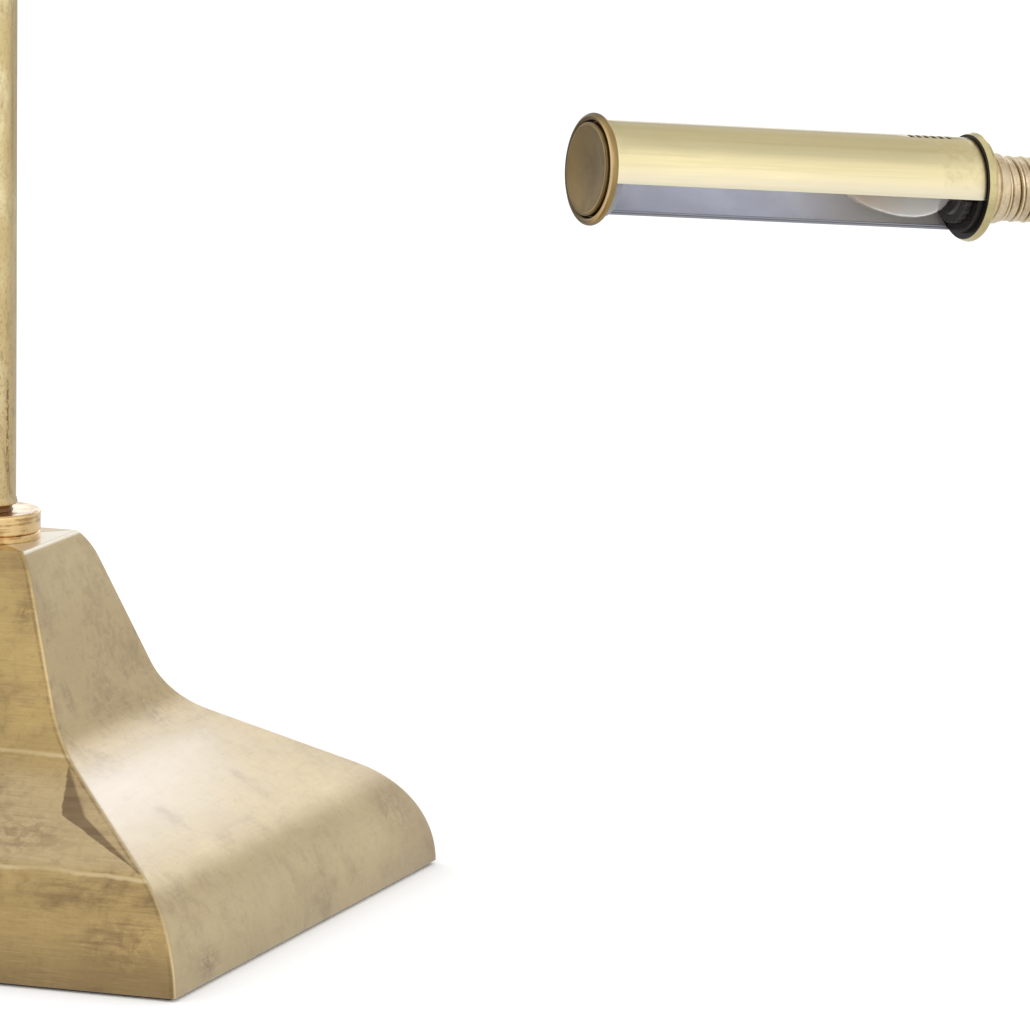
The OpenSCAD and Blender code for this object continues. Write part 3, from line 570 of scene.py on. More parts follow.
def antique_brass(colours):
    """Dark antique brass, turned and waxed, with a painted highlight and glint on the bead's near side,
    painted shade on its far side, painted light and shade across the disc and a light painted line on its
    lip.
    """
    antique = colours.antique
    finish = Finish("antique_brass")
    band, zone, paint = finish.band, finish.zone, finish.paint
    reach = along_head(finish, HEAD_AXIS)
    behind = along_head(finish, HEAD_BACK)
    spread = head_spread(finish)
    cloud = finish.noise(finish.place, 60.0, 5.0, 0.6, 0.4)
    hair = finish.noise(finish.place, 1200.0, 3.0)
    crown = band(spread, 0.0212, 0.0224)*(1.0 - band(spread, 0.0238, 0.0246)*0.7)
    # Painted highlight on the bead's crown, strongest on its near side
    rubbed = crown*(band(behind, -0.003, -0.020)*0.84 + 0.16)
    shaded = band(behind, -0.014, 0.008)*band(spread, 0.0209, 0.0215)
    glint = zone(spread, 0.0231, 0.0236, 0.0239, 0.0243)*band(behind, -0.013, -0.0225)
    # Painted light and shade on the dished disc: lighter towards its far side, darker in its middle towards
    # the near side
    inner = band(spread, 0.0189, 0.0183)*band(behind, -0.004, 0.013)
    middle = band(spread, 0.017, 0.006)*band(behind, 0.004, -0.008)
    # Painted highlight: a light line round the disc's lip, strongest on its near side
    lip = zone(spread, 0.0187, 0.0191, 0.0196, 0.0200)*(0.65 - band(behind, -0.012, 0.004)*0.5)
    # Enamel inside the cap, darkened as painted shade
    lined = band(reach, SHADE_END, SHADE_END - 0.0001)
    finish.clouded(cloud, 0.34, 0.68, antique, 0.82, 1.22)
    paint(rubbed, tint(antique, 3.6))
    paint(shaded*0.78, tint(antique, 0.35))
    paint(glint*0.7, (0.85, 0.64, 0.45))
    paint(inner*0.6, tint(antique, 1.5))
    paint(middle*0.6, tint(antique, 0.6))
    paint(lip, tint(antique, 2.6))
    paint(lined, tint(colours.enamel, 0.37))
    finish.relief(hair*0.12 + cloud*0.4, 0.00005)
    finish.surface(metallic=1.0 - lined, roughness=0.34 + hair*0.10 - rubbed*0.20, coat_weight=0.04,
                   coat_roughness=0.25)


def lining_enamel(colours):
    """White enamel of the shade's lining, faintly soiled, with painted shade on the vents' cut walls and
    along the slot's far edge.
    """
    enamel = colours.enamel
    finish = Finish("white_enamel")
    band, paint = finish.band, finish.paint
    cloud = finish.noise(finish.place, 45.0, 4.0)
    fine = finish.noise(finish.place, 260.0, 4.0, 0.6)
    finish.clouded(cloud, 0.3, 0.7, enamel, 0.90, 1.08)
    paint(band(fine + cloud*0.3, 0.74, 0.97)*0.3, tint(enamel, 0.6))
    # Painted shade in the vents' cut walls
    paint(vent_walls(finish, *LINING_SHEET), VENT_SHADE)
    paint(band(along_head(finish, HEAD_AXIS), 0.100, 0.030)*0.8, (0.70, 0.66, 0.60))
    # Painted shade: the lining darker along the slot's far edge
    paint(band(slot_edge(finish, 1.0), -0.0014, -0.0007), tint(enamel, 0.42))
    finish.relief(fine, 0.00005)
    finish.surface(roughness=fine*0.12 + 0.28, coat_weight=0.3, coat_roughness=0.06)


def coated(name, tone, rough, grain, depth, metallic=0.0, specular=0.5, fleck=None):
    """Lacquer, plastic, rubber, felt or plain metal: a base colour with a grain and light soiling."""
    finish = Finish(name)
    cloud = finish.noise(finish.place, 45.0, 4.0)
    fine = finish.noise(finish.place, grain, 4.0, 0.6)
    finish.clouded(cloud, 0.3, 0.7, tone, 0.90, 1.08)
    finish.paint(finish.band(fine + cloud*0.3, 0.72, 0.95)*0.4, fleck or tint(tone, 0.6))
    finish.relief(fine, depth)
    finish.surface(metallic=metallic, roughness=fine*0.12 + (rough - 0.06), specular_ior_level=specular)


def clear_glass():
    """Clear blown glass with faint waves, tinted warmer towards its tip as a painted reflection of the brass
    round it.
    """
    finish = Finish("bulb_clear")
    # Painted reflection: a warm tint towards the tip
    warm = finish.band(along_head(finish, HEAD_AXIS), 0.026, 0.058)
    finish.tone = finish.mix(warm, (0.98, 0.96, 0.92), (0.95, 0.82, 0.68))
    finish.relief(finish.noise(finish.place, 90.0, 2.0), 0.00004)
    finish.surface(roughness=0.0, ior=1.5, transmission_weight=0.80)


def make_finishes(colours):
    """Makes all the lamp's materials, by slot name."""
    for own_finish in (base_brass, pole_brass, neck_brass, shade_brass, antique_brass, lining_enamel):
        own_finish(colours)
    clear_glass()
    brown = colours.brown
    brass("collar_brass", colours.warm, (0.36, 0.20, 0.06), rough=0.24, stained=0.85, grain=(3.0, 3.0, 60.0),
          coat=0.6, relief=0.00014, close=1.5, streak=1.2)
    brass("tube_brass", colours.satin, brown, rough=0.25, stained=0.55, grain=(60.0, 60.0, 20.0), coat=0.35,
          relief=0.00005)
    brass("flange_brass", (0.62, 0.53, 0.27), brown, rough=0.20, stained=0.35, grain=(60.0, 60.0, 60.0),
          coat=0.3, relief=0.00004)
    # Dark patina, also painted shade for the reveal under the pole
    brass("dark_patina", (0.22, 0.115, 0.05), (0.10, 0.05, 0.025), rough=0.42, stained=0.5,
          grain=(40.0, 40.0, 40.0), coat=0.1, relief=0.00008)
    brass("plug_brass", (0.70, 0.58, 0.32), brown, rough=0.32, stained=0.2, grain=(40.0, 40.0, 200.0),
          coat=0.1, relief=0.00004)
    coated("black_lacquer", (0.012, 0.010, 0.009), rough=0.22, grain=300.0, depth=0.00003, specular=0.2,
           fleck=(0.045, 0.028, 0.016))
    coated("black_plastic", (0.028, 0.026, 0.025), rough=0.34, grain=500.0, depth=0.00004,
           fleck=(0.05, 0.045, 0.04))
    coated("grommet_rubber", (0.03, 0.03, 0.03), rough=0.6, grain=800.0, depth=0.00005)
    coated("nylon", (0.80, 0.77, 0.68), rough=0.42, grain=400.0, depth=0.00003)
    coated("zinc_steel", (0.62, 0.62, 0.60), rough=0.34, grain=500.0, depth=0.00003, metallic=1.0)
    coated("ballast_iron", (0.17, 0.165, 0.16), rough=0.62, grain=260.0, depth=0.00025, metallic=1.0)
    coated("felt", (0.055, 0.060, 0.055), rough=0.95, grain=1400.0, depth=0.0003, fleck=(0.10, 0.10, 0.09))
    coated("bulb_metal", (0.72, 0.70, 0.64), rough=0.28, grain=400.0, depth=0.00003, metallic=1.0)
    coated("filament_wire", (0.50, 0.48, 0.46), rough=0.35, grain=600.0, depth=0.00002, metallic=1.0)


def material_of(slot):
    """The material for one of the record's slots."""
    if not FINISHES:
        make_finishes(bpy.context.scene.lamp_colours)
    return FINISHES[slot]


def linked(name, data):
    """A new object in the scene."""
    made = bpy.data.objects.new(name, data)
    bpy.context.scene.collection.objects.link(made)
    return made


def mesh_object(name, points, faces):
    """An object of merged points and outward faces."""
    mesh = bpy.data.meshes.new(name)
    mesh.from_pydata(points, [], faces)
    shape = bmesh.new()
    shape.from_mesh(mesh)
    bmesh.ops.remove_doubles(shape, verts=shape.verts, dist=1e-6)
    loose = [point for point in shape.verts if not point.link_faces]
    bmesh.ops.delete(shape, geom=loose, context="VERTS")
    bmesh.ops.recalc_face_normals(shape, faces=shape.faces)
    shape.to_mesh(mesh)
    shape.free()
    return linked(name, mesh)


def finish_piece(piece, slot):
    """Gives a piece the material of a slot."""
    piece.data.materials.clear()
    piece.data.materials.append(material_of(slot))


def settle(piece, slot, body, *nodes):
    """Gives a piece its finish and smooth faces, and puts it on its body in place of CAD nodes."""
    finish_piece(piece, slot)
    piece.data.shade_smooth()
    piece.data.set_sharp_from_angle(angle=SHARP_ANGLE)
    if body:
        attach(piece, body)
    if nodes:
        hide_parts(*nodes)


def dress(slot, *nodes):
    """Gives their finish to CAD nodes that no piece replaces."""
    for name in nodes:
        finish_piece(frame["nodes"][name], slot)


def arc(centre, radius, start, end, steps):
    """Points along an arc, with its angles in radians."""
    angles = [start + (end - start)*k/steps for k in range(steps + 1)]
    return [(centre[0] + radius*math.cos(a), centre[1] + radius*math.sin(a)) for a in angles]


def rounded(corners, steps=5):
    """Closed outline of corners (r, h) or, rounded, (r, h, fillet), with a point close beside each round."""
    beside = 1.15
    outline = []
    for k, (r, h, *fillet) in enumerate(corners):
        if not fillet:
            outline.append((r, h))
            continue
        here = Vector((r, h))
        before = (Vector(corners[k - 1][:2]) - here).normalized()
        after = (Vector(corners[(k + 1) % len(corners)][:2]) - here).normalized()
        half = before.angle(after)/2
        reach = fillet[0]/math.tan(half)
        centre = here + (before + after).normalized()*(fillet[0]/math.sin(half))
        spoke = here + before*reach - centre
        turn = -spoke.angle_signed(here + after*reach - centre)
        outline.append(tuple(here + before*reach*beside))
        for j in range(steps + 1):
            outline.append(tuple(centre + Matrix.Rotation(turn*j/steps, 2) @ spoke))
        outline.append(tuple(here + after*reach*beside))
    return outline


def hoop_faces(rings, steps):
    """Faces between closed rings of points, with the last ring joined to the first."""
    faces = []
    for j in range(rings):
        low = j*steps
        high = (j + 1) % rings*steps
        for k in range(steps):
            after = (k + 1) % steps
            faces.append((low + k, high + k, high + after, low + after))
    return faces


def turned_piece(name, corners, slot, body, node, place=UPRIGHT, steps=128):
    """A piece turned on a lathe: a closed outline revolved round the place's own Z."""
    outline = rounded(corners)
    spokes = arc((0.0, 0.0), 1.0, 0.0, 2*math.pi, steps)[:steps]
    points = [place @ Vector((r*c, r*s, h)) for r, h in outline for c, s in spokes]
    settle(mesh_object(name, points, hoop_faces(len(outline), steps)), slot, body, node)


def baked(piece):
    """Turns what a piece's modifiers make into its plain mesh."""
    bpy.context.view_layer.update()
    view = bpy.context.evaluated_depsgraph_get()
    mesh = bpy.data.meshes.new_from_object(piece.evaluated_get(view))
    name = piece.name
    mesh.name = name
    bpy.data.objects.remove(piece)
    return linked(name, mesh)


def node_tree(name, **inputs):
    """A geometry tree with a geometry input, named number inputs and a geometry output."""
    tree = bpy.data.node_groups.new(name, "GeometryNodeTree")
    for label, kind in {"Geometry": "Geometry", **inputs}.items():
        tree.interface.new_socket(label, in_out="INPUT", socket_type="NodeSocket" + kind)
    tree.interface.new_socket("Geometry", in_out="OUTPUT", socket_type="NodeSocketGeometry")
    graph = Graph(tree)
    source = tree.nodes.new("NodeGroupInput")
    fed = {socket.name: Value(graph, socket) for socket in source.outputs if socket.name}
    return graph, fed


def end_tree(graph, geometry, slot):
    """Realizes and hands out a tree's geometry with its material."""
    real = graph.node("GeometryNodeRealizeInstances", None, {0: geometry})
    smooth = graph.node("GeometryNodeSetShadeSmooth", None, {0: real})
    painted = graph.node("GeometryNodeSetMaterial", None, {0: smooth, "Material": material_of(slot)})
    out = graph.tree.nodes.new("NodeGroupOutput")
    graph.feed(out.inputs[0], painted)
    return graph.tree


def with_tree(piece, tree, **values):
    """Puts a geometry tree on a piece, with its inputs set by their identifiers."""
    modifier = piece.modifiers.new(tree.name, "NODES")
    modifier.node_group = tree
    for item in tree.interface.items_tree:
        if item.in_out == "INPUT" and item.name in values:
            modifier[item.identifier] = values[item.name]
    return baked(piece)


def path_object(name, points):
    """A curve object of one open line through points."""
    curve = bpy.data.curves.new(name, "CURVE")
    curve.dimensions = "3D"
    line = curve.splines.new("POLY")
    line.points.add(len(points) - 1)
    for point, place in zip(line.points, points):
        point.co = (*place, 1.0)
    return linked(name, curve)


def base_outline(sizes, half, rise, inset, steps):
    """Half of the base's outline as (half width, height), from the rim to the edge of the top flat."""
    foot, blend, brow = sizes.foot_radius, sizes.blend_radius, sizes.brow_radius
    skirt_low = math.pi/2 - sizes.skirt_slope
    brow_low = math.pi/2 - sizes.stem_slope
    brow_high = brow_low + sizes.brow_turn
    skirt = Vector((math.cos(skirt_low), math.sin(skirt_low)))
    stem = Vector((math.cos(brow_low), math.sin(brow_low)))
    foot_centre = Vector((half - foot, 0.0))
    skirt_top = foot_centre + foot*skirt
    brow_centre = Vector((sizes.top_width/2 - brow*math.cos(brow_high), rise - brow*math.sin(brow_high)))
    stem_top = brow_centre + brow*stem
    skirt_run = 1/math.tan(sizes.skirt_slope)
    stem_run = 1/math.tan(sizes.stem_slope)
    gap = skirt_top.x - stem_top.x + skirt_top.y*skirt_run - stem_top.y*stem_run
    cross_y = gap/(skirt_run - stem_run)
    cross = Vector((skirt_top.x - (cross_y - skirt_top.y)*skirt_run, cross_y))
    run = blend*math.tan((sizes.stem_slope - sizes.skirt_slope)/2)
    blend_centre = cross + run*Vector((skirt.y, -skirt.x)) + blend*skirt
    outline = arc(foot_centre, foot - inset, 0.0, skirt_low, steps)
    outline += arc(blend_centre, blend + inset, math.pi + skirt_low, math.pi + brow_low, steps)
    outline += arc(brow_centre, brow - inset, brow_low, brow_high, steps//2)
    return outline


def square_ring(half, height, ridge, marks):
    """Points round a square with rounded corners on the X and Y axes."""
    ridge = min(ridge, half*0.2)
    flat = half - ridge
    corner = arc((flat, flat), ridge, 0.0, math.pi/2, 5)[1:-1]
    ring = []
    for turn in range(4):
        side = Matrix.Rotation(math.radians(45 + 90*turn), 3, "Z")
        ring += [side @ Vector((half, mark*flat, height)) for mark in marks]
        ring += [side @ Vector((x, y, height)) for x, y in corner]
    return ring


def build_base(sizes):
    """The raised brass base, a shell with soldered ridges, a turned-in rim and a flat top."""
    half = BASE_HIGH.x/math.sqrt(2)
    rise = BASE_HIGH.z - BASE_LOW.z
    wall, hole, edge = sizes.shell_wall, 0.006, 0.0006
    outer = base_outline(sizes, half, rise, 0.0, 24)
    inner = base_outline(sizes, half, rise, wall, 12)
    top, high = outer[-1]
    rim = [(half - wall, 0.0), (half - edge, 0.0), (half, edge)]
    brow = [(top + edge*0.3, high - edge*0.45), (top - edge*0.2, high - edge*0.1), (top - edge*0.8, high),
            (top - edge*3, high)]
    outline = rim + outer[1:-1] + brow + [(hole, rise), (hole, rise - wall)] + inner[::-1]
    half_marks = [0.2, 0.4, 0.6, 0.8, 0.95, 0.985, 1.0]
    marks = [-mark for mark in half_marks[::-1]] + [0.0] + half_marks
    rings = [square_ring(w, z + BASE_LOW.z, sizes.ridge_radius, marks) for w, z in outline]
    points = [point for ring in rings for point in ring]
    shell = mesh_object("raised_base", points, hoop_faces(len(rings), len(rings[0])))
    settle(shell, "base_brass", "base", "base_shell")


def build_pole():
    """Collar, dark reveal and pole, turned round the pole's axis."""
    flange_low, flange_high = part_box("collar_flange")
    ring_low, ring_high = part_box("collar_ring")
    reveal_low, reveal_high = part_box("pole_spacer")
    bore, groove, wall = 0.0051, 0.0007, 0.0015
    collar = flange_high.x
    turned_piece("foot_flange", [
        (bore, flange_low.z), (collar, flange_low.z, 0.0003), (collar, flange_high.z - 0.0004, 0.0009),
        (collar - groove, flange_high.z), (bore, flange_high.z)], "collar_brass", "base", "collar_flange")
    dish = ring_high.z - 0.0002
    turned_piece("foot_ring", [
        (bore, ring_low.z), (collar - groove, ring_low.z), (collar, ring_low.z + 0.0004, 0.0007),
        (collar, ring_high.z, 0.0013), (collar - 0.004, dish, 0.0006), (bore, dish)],
        "collar_brass", "base", "collar_ring")
    # The reveal's dark tone: patina and painted shade in the gap under the pole
    waist, sunk = reveal_high.x, reveal_low.z - 0.0002
    turned_piece("dark_reveal", [
        (bore, sunk), (waist, sunk), (waist - 0.0006, reveal_low.z + 0.0009, 0.0004),
        (waist, reveal_high.z), (bore, reveal_high.z)], "dark_patina", "base", "pole_spacer")
    flare = POLE_HIGH.x
    radius = flare - 0.0006
    turned_piece("lower_pole", [
        (radius - wall, POLE_LOW.z), (flare, POLE_LOW.z, 0.0004), (flare, POLE_LOW.z + 0.0008, 0.0005),
        (radius, POLE_LOW.z + 0.0030, 0.0012), (radius, POLE_HIGH.z, 0.0004), (radius - wall, POLE_HIGH.z)],
        "pole_brass", "base", "pole_tube")


def knurl_tree():
    """Tree that sets fine ridges round a grip, along Z."""
    graph, fed = node_tree("knurl", Ridges="Int", Radius="Float", Width="Float", Length="Float")
    circle = graph.node("GeometryNodeMeshCircle", None, {"Vertices": fed["Ridges"], "Radius": fed["Radius"]})
    grain = graph.node("GeometryNodeMeshUVSphere", None, {"Segments": 8, "Rings": 8, "Radius": 1.0})
    size = graph.node("ShaderNodeCombineXYZ", None, {0: fed["Width"], 1: fed["Width"], 2: fed["Length"]})
    ridges = graph.node("GeometryNodeInstanceOnPoints", None,
                        {"Points": circle, "Instance": grain, "Scale": size})
    return end_tree(graph, ridges, "tube_brass")


def knurled_grip(name, tree, knurls, place, radius, low, high, body):
    """A ring of knurls between two heights of a place's own Z."""
    ridges = with_tree(linked(name, bpy.data.meshes.new(name)), tree, Ridges=knurls, Radius=radius,
                       Width=radius*math.pi/knurls*0.82, Length=(high - low)/2)
    ridges.data.transform(place @ Matrix.Translation((0.0, 0.0, (low + high)/2)))
    settle(ridges, "tube_brass", body)


def build_thumbscrew(tree, knurls):
    """The screw that clamps the riser, with its knurled grip."""
    low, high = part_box("thumbscrew")
    place = Matrix.Translation(hinge_place("thumbscrew_turn")) @ Matrix.Rotation(-math.pi/2, 4, "Y")
    head, shank = -low.x, -high.x
    neck, stem, grip, dish = head - 0.011, 0.003, high.y - 0.0012, head - 0.0006
    turned_piece("thumb_grip", [
        (0, shank), (stem, shank, 0.0004), (stem, neck, 0.0005), (grip, neck, 0.0014), (grip, head, 0.0016),
        (high.y*0.62, head, 0.0006), (high.y*0.5, dish, 0.0005), (0, dish)],
        "tube_brass", "thumbscrew", "thumbscrew", place, 64)
    knurled_grip("thumb_knurls", tree, knurls, place, grip - 0.0001, neck + 0.0014, head - 0.0016,
                 "thumbscrew")


def build_knob(tree, knurls):
    """The switch's knob, with its knurled grip."""
    low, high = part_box("switch_knob")
    place = Matrix.Translation(hinge_place("switch_turn")) @ Matrix.Rotation(math.pi/2, 4, "X")
    face, shank = -low.y, -high.y
    back, stem, grip = face - 0.013, 0.00295, high.x - 0.001
    turned_piece("switch_grip", [
        (0, shank), (stem, shank, 0.0003), (stem, back), (grip, back, 0.0010), (grip, face - 0.002, 0.0008),
        (high.x*0.76, face, 0.0016), (0, face)], "tube_brass", "knob", "switch_knob", place, 64)
    knurled_grip("switch_knurls", tree, knurls, place, grip - 0.0001, back + 0.0010, face - 0.0026, "knob")


def build_riser(sizes):
    """Riser with its thumbscrew, and the switch's housing, lid and knob."""
    tree = knurl_tree()
    build_thumbscrew(tree, sizes.knurls)
    build_knob(tree, sizes.knurls)
    low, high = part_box("riser_tube")
    tube, bore = high.x, high.x - 0.0015
    turned_piece("riser", [(bore, low.z), (tube, low.z), (tube, high.z), (bore, high.z)],
                 "tube_brass", "riser", "riser_tube", steps=96)
    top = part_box("housing_lid")[1].z
    outer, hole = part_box("switch_housing")[1].x, 0.009
    turned_piece("lid", [
        (hole, top - 0.005), (outer, top - 0.006, 0.0004), (outer, top - 0.0025, 0.0010),
        (outer - 0.0035, top, 0.0016), (hole, top)], "tube_brass", "riser", "housing_lid")
    dress("tube_brass", "clamp_collar", "switch_housing", "switch_nut")


def tube_tree():
    """Tree that draws a round tube along a curve."""
    graph, fed = node_tree("tube", Radius="Float", Sides="Int")
    ring = graph.node("GeometryNodeCurvePrimitiveCircle", None,
                      {"Resolution": fed["Sides"], "Radius": fed["Radius"]})
    tube = graph.node("GeometryNodeCurveToMesh", None,
                      {"Curve": fed["Geometry"], "Profile Curve": ring, "Fill Caps": True})
    return end_tree(graph, tube, "tube_brass")


def build_crook():
    """The bent tube from the swivel to the neck, with its two ferrules."""
    crook_low, crook_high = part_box("crook_tube")
    swivel_low, swivel_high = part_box("swivel_ferrule")
    tip_low, tip_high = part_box("crook_ferrule")
    sunk = 0.010
    radius = -crook_low.x
    bend = (crook_high.x - radius)/2
    spring = crook_high.z - radius - bend
    start, end = swivel_high.z - sunk, tip_high.z - sunk
    rise_steps, bend_steps, drop_steps = 8, 120, 20
    points = [(0.0, 0.0, start + (spring - start)*k/rise_steps) for k in range(rise_steps)]
    points += [(x, 0.0, z) for x, z in arc((bend, spring), bend, math.pi, 0.0, bend_steps)]
    points += [(2*bend, 0.0, spring + (end - spring)*k/drop_steps) for k in range(1, drop_steps + 1)]
    bent = with_tree(path_object("bent_tube", points), tube_tree(), Radius=radius, Sides=64)
    settle(bent, "tube_brass", "arm", "crook_tube")
    outer = swivel_high.x
    spigot = 0.007
    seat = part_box("swivel_bush")[1].z + 0.0003
    turned_piece("swivel_cup", [
        (WIRE_BORE, swivel_low.z), (spigot, swivel_low.z, 0.0004), (spigot, seat), (outer, seat, 0.0012),
        (outer, seat + 0.0062, 0.0012), (outer - 0.0022, seat + 0.0100, 0.0025),
        (radius + 0.0030, swivel_high.z - 0.002, 0.002), (radius + 0.0004, swivel_high.z, 0.0006),
        (radius - 0.002, swivel_high.z), (WIRE_BORE, seat + 0.010)], "tube_brass", "arm", "swivel_ferrule")
    mouth = tip_low.z + 0.014
    turned_piece("tip_cup", [
        (WIRE_BORE, tip_low.z), (SPIGOT, tip_low.z, 0.0004), (SPIGOT, mouth), (outer, mouth, 0.0008),
        (outer, mouth + 0.0185, 0.0012), (radius + 0.004, mouth + 0.0240, 0.003),
        (radius + 0.0025, tip_high.z - 0.002, 0.002), (radius + 0.0004, tip_high.z, 0.0006),
        (radius - 0.002, tip_high.z), (WIRE_BORE, tip_low.z + 0.029)],
        "tube_brass", "arm", "crook_ferrule", Matrix.Translation((2*bend, 0.0, 0.0)))


def neck_path(sizes):
    """The neck's middle line from the crook down, round its curl and into the head."""
    top = NECK_HINGES[0] + Vector((0.0, 0.0, LINK))
    turn = math.pi/2 + HEAD_TILT
    curl = sizes.neck_curl
    drop = LINK*len(NECK_BODIES) - curl*turn - sizes.neck_tail
    centre = top + Vector((-curl, 0.0, -drop))
    drop_steps, bend_steps, tail_steps = 40, 160, 8
    points = [top + Vector((0.0, 0.0, -drop*k/drop_steps)) for k in range(drop_steps)]
    for k in range(bend_steps + 1):
        a = turn*k/bend_steps
        points.append(centre + curl*Vector((math.cos(a), 0.0, -math.sin(a))))
    points += [points[-1] + HEAD_AXIS*(sizes.neck_tail*k/tail_steps) for k in range(1, tail_steps + 1)]
    return points


def captured(graph, geometry, **fields):
    """Geometry that keeps fields, named by their types, and the kept fields."""
    keeper = graph.tree.nodes.new("GeometryNodeCaptureAttribute")
    for kind in fields:
        keeper.capture_items.new(kind, kind.lower())
    for k, value in enumerate((geometry, *fields.values())):
        graph.feed(keeper.inputs[k], value)
    return [Value(graph, keeper.outputs[k]) for k in range(len(fields) + 1)]


def bell(value, middle, width):
    """Bell curve of a value, 1 at its middle."""
    away = (value - middle)/width
    return away.math("EXPONENT", -(away*away))


def neck_tree():
    """Tree that winds a strip round a curve: flat bands between a raised bead and its two grooves."""
    bead_height, groove_depth, camber_height = 0.0007, 0.0009, 0.00022
    graph, fed = node_tree("strip_wound", From="Float", To="Float", Rings="Int", Sides="Int", Radius="Float",
                           Pitch="Float", Shift="Float")
    place = graph.node("GeometryNodeInputPosition")
    trimmed = graph.node("GeometryNodeTrimCurve", {"mode": "LENGTH"},
                         {0: fed["Geometry"], 4: fed["From"], 5: fed["To"]})
    even = graph.node("GeometryNodeResampleCurve", None, {"Curve": trimmed, "Count": fed["Rings"]})
    run = graph.node("GeometryNodeSplineParameter", output="Length")
    spine, along, middle = captured(graph, even, FLOAT=run, VECTOR=place)
    ring = graph.node("GeometryNodeCurvePrimitiveCircle", None,
                      {"Resolution": fed["Sides"], "Radius": fed["Radius"]})
    share = graph.node("GeometryNodeSplineParameter", output="Factor")
    hoop, around = captured(graph, ring, FLOAT=share)
    tube = graph.node("GeometryNodeCurveToMesh", None,
                      {"Curve": spine, "Profile Curve": hoop, "Fill Caps": True})
    turns = (along + fed["From"] + fed["Shift"])/fed["Pitch"] - around
    phase = turns.math("FRACT", turns) - 0.5
    bead = bell(phase, 0.0, 0.085)
    groove = bell(phase, 0.19, 0.06) + bell(phase, -0.18, 0.045)*0.65
    hump = (abs(phase) - 0.37)/0.13
    camber = hump.math("MAXIMUM", 1.0 - hump*hump, 0.0)
    swell = bead*bead_height - groove*groove_depth + camber*camber_height
    outward = graph.vector("NORMALIZE", graph.vector("SUBTRACT", place, middle))
    push = graph.node("ShaderNodeVectorMath", {"operation": "SCALE"}, {0: outward, "Scale": swell})
    wound = graph.node("GeometryNodeSetPosition", None, {"Geometry": tube, "Offset": push})
    for label, value in (("groove", groove), ("bead", bead)):
        wound = graph.node("GeometryNodeStoreNamedAttribute", {"data_type": "FLOAT", "domain": "POINT"},
                           {"Geometry": wound, "Name": label, "Value": value})
    return end_tree(graph, wound, "neck_brass")


def build_neck(sizes):
    """The strip-wound neck in five lengths, each spanning one hinge."""
    tree = neck_tree()
    points = neck_path(sizes)
    rings_per_turn = 28
    shift = 0.0010
    last_hinge = len(NECK_HINGES) - 1
    for k, hinge in enumerate(NECK_HINGES):
        first = LINK*(k + 0.5) if k else 0.0
        last = LINK*(k + 1.5) if k < last_hinge else LINK*len(NECK_BODIES)
        winding = with_tree(path_object(f"neck_winding_{k + 1}", points), tree, From=first, To=last,
                            Rings=int((last - first)/sizes.rib_pitch*rings_per_turn),
                            Sides=sizes.neck_sides, Radius=sizes.neck_radius, Pitch=sizes.rib_pitch,
                            Shift=shift)
        settle(winding, "neck_brass", None, f"neck_link_{k + 1}", f"neck_link_{k + 2}")
        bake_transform(winding)


def build_head():
    """Ferrule, brass flange and the black fittings behind the bulb."""
    seat, rear, face = -0.0155, -0.0045, -0.0004
    tail, step = seat - 0.014, seat + 0.0026
    body, ring, bore, disc = 0.0159, 0.0161, 0.0129, 0.0234
    turned_piece("head_ferrule", [
        (WIRE_BORE, tail), (SPIGOT, tail, 0.0004), (SPIGOT, seat), (body, seat, 0.0009),
        (body, -0.0112, 0.0006), (0.0150, -0.0106), (ring, -0.0100, 0.0009), (ring, rear, 0.0007),
        (bore, rear), (bore, step), (WIRE_BORE, step)], "neck_brass", "head", "neck_ferrule", HEAD_FRAME)
    turned_piece("brass_flange", [
        (bore, rear), (0.0241, rear, 0.0010), (0.0245, -0.0028, 0.0008), (0.0236, face, 0.0003),
        (bore, face)], "flange_brass", "head", "rear_flange", HEAD_FRAME)
    turned_piece("black_disc", [
        (bore, face), (disc, face, 0.0001), (disc, 0.0, 0.0002), (bore, 0.0)],
        "black_lacquer", "head", "heat_shield", HEAD_FRAME)
    dress("black_lacquer", "shade_hub")
    dress("black_plastic", "lampholder", "shade_ring")
    dress("plug_brass", "holder_contact")


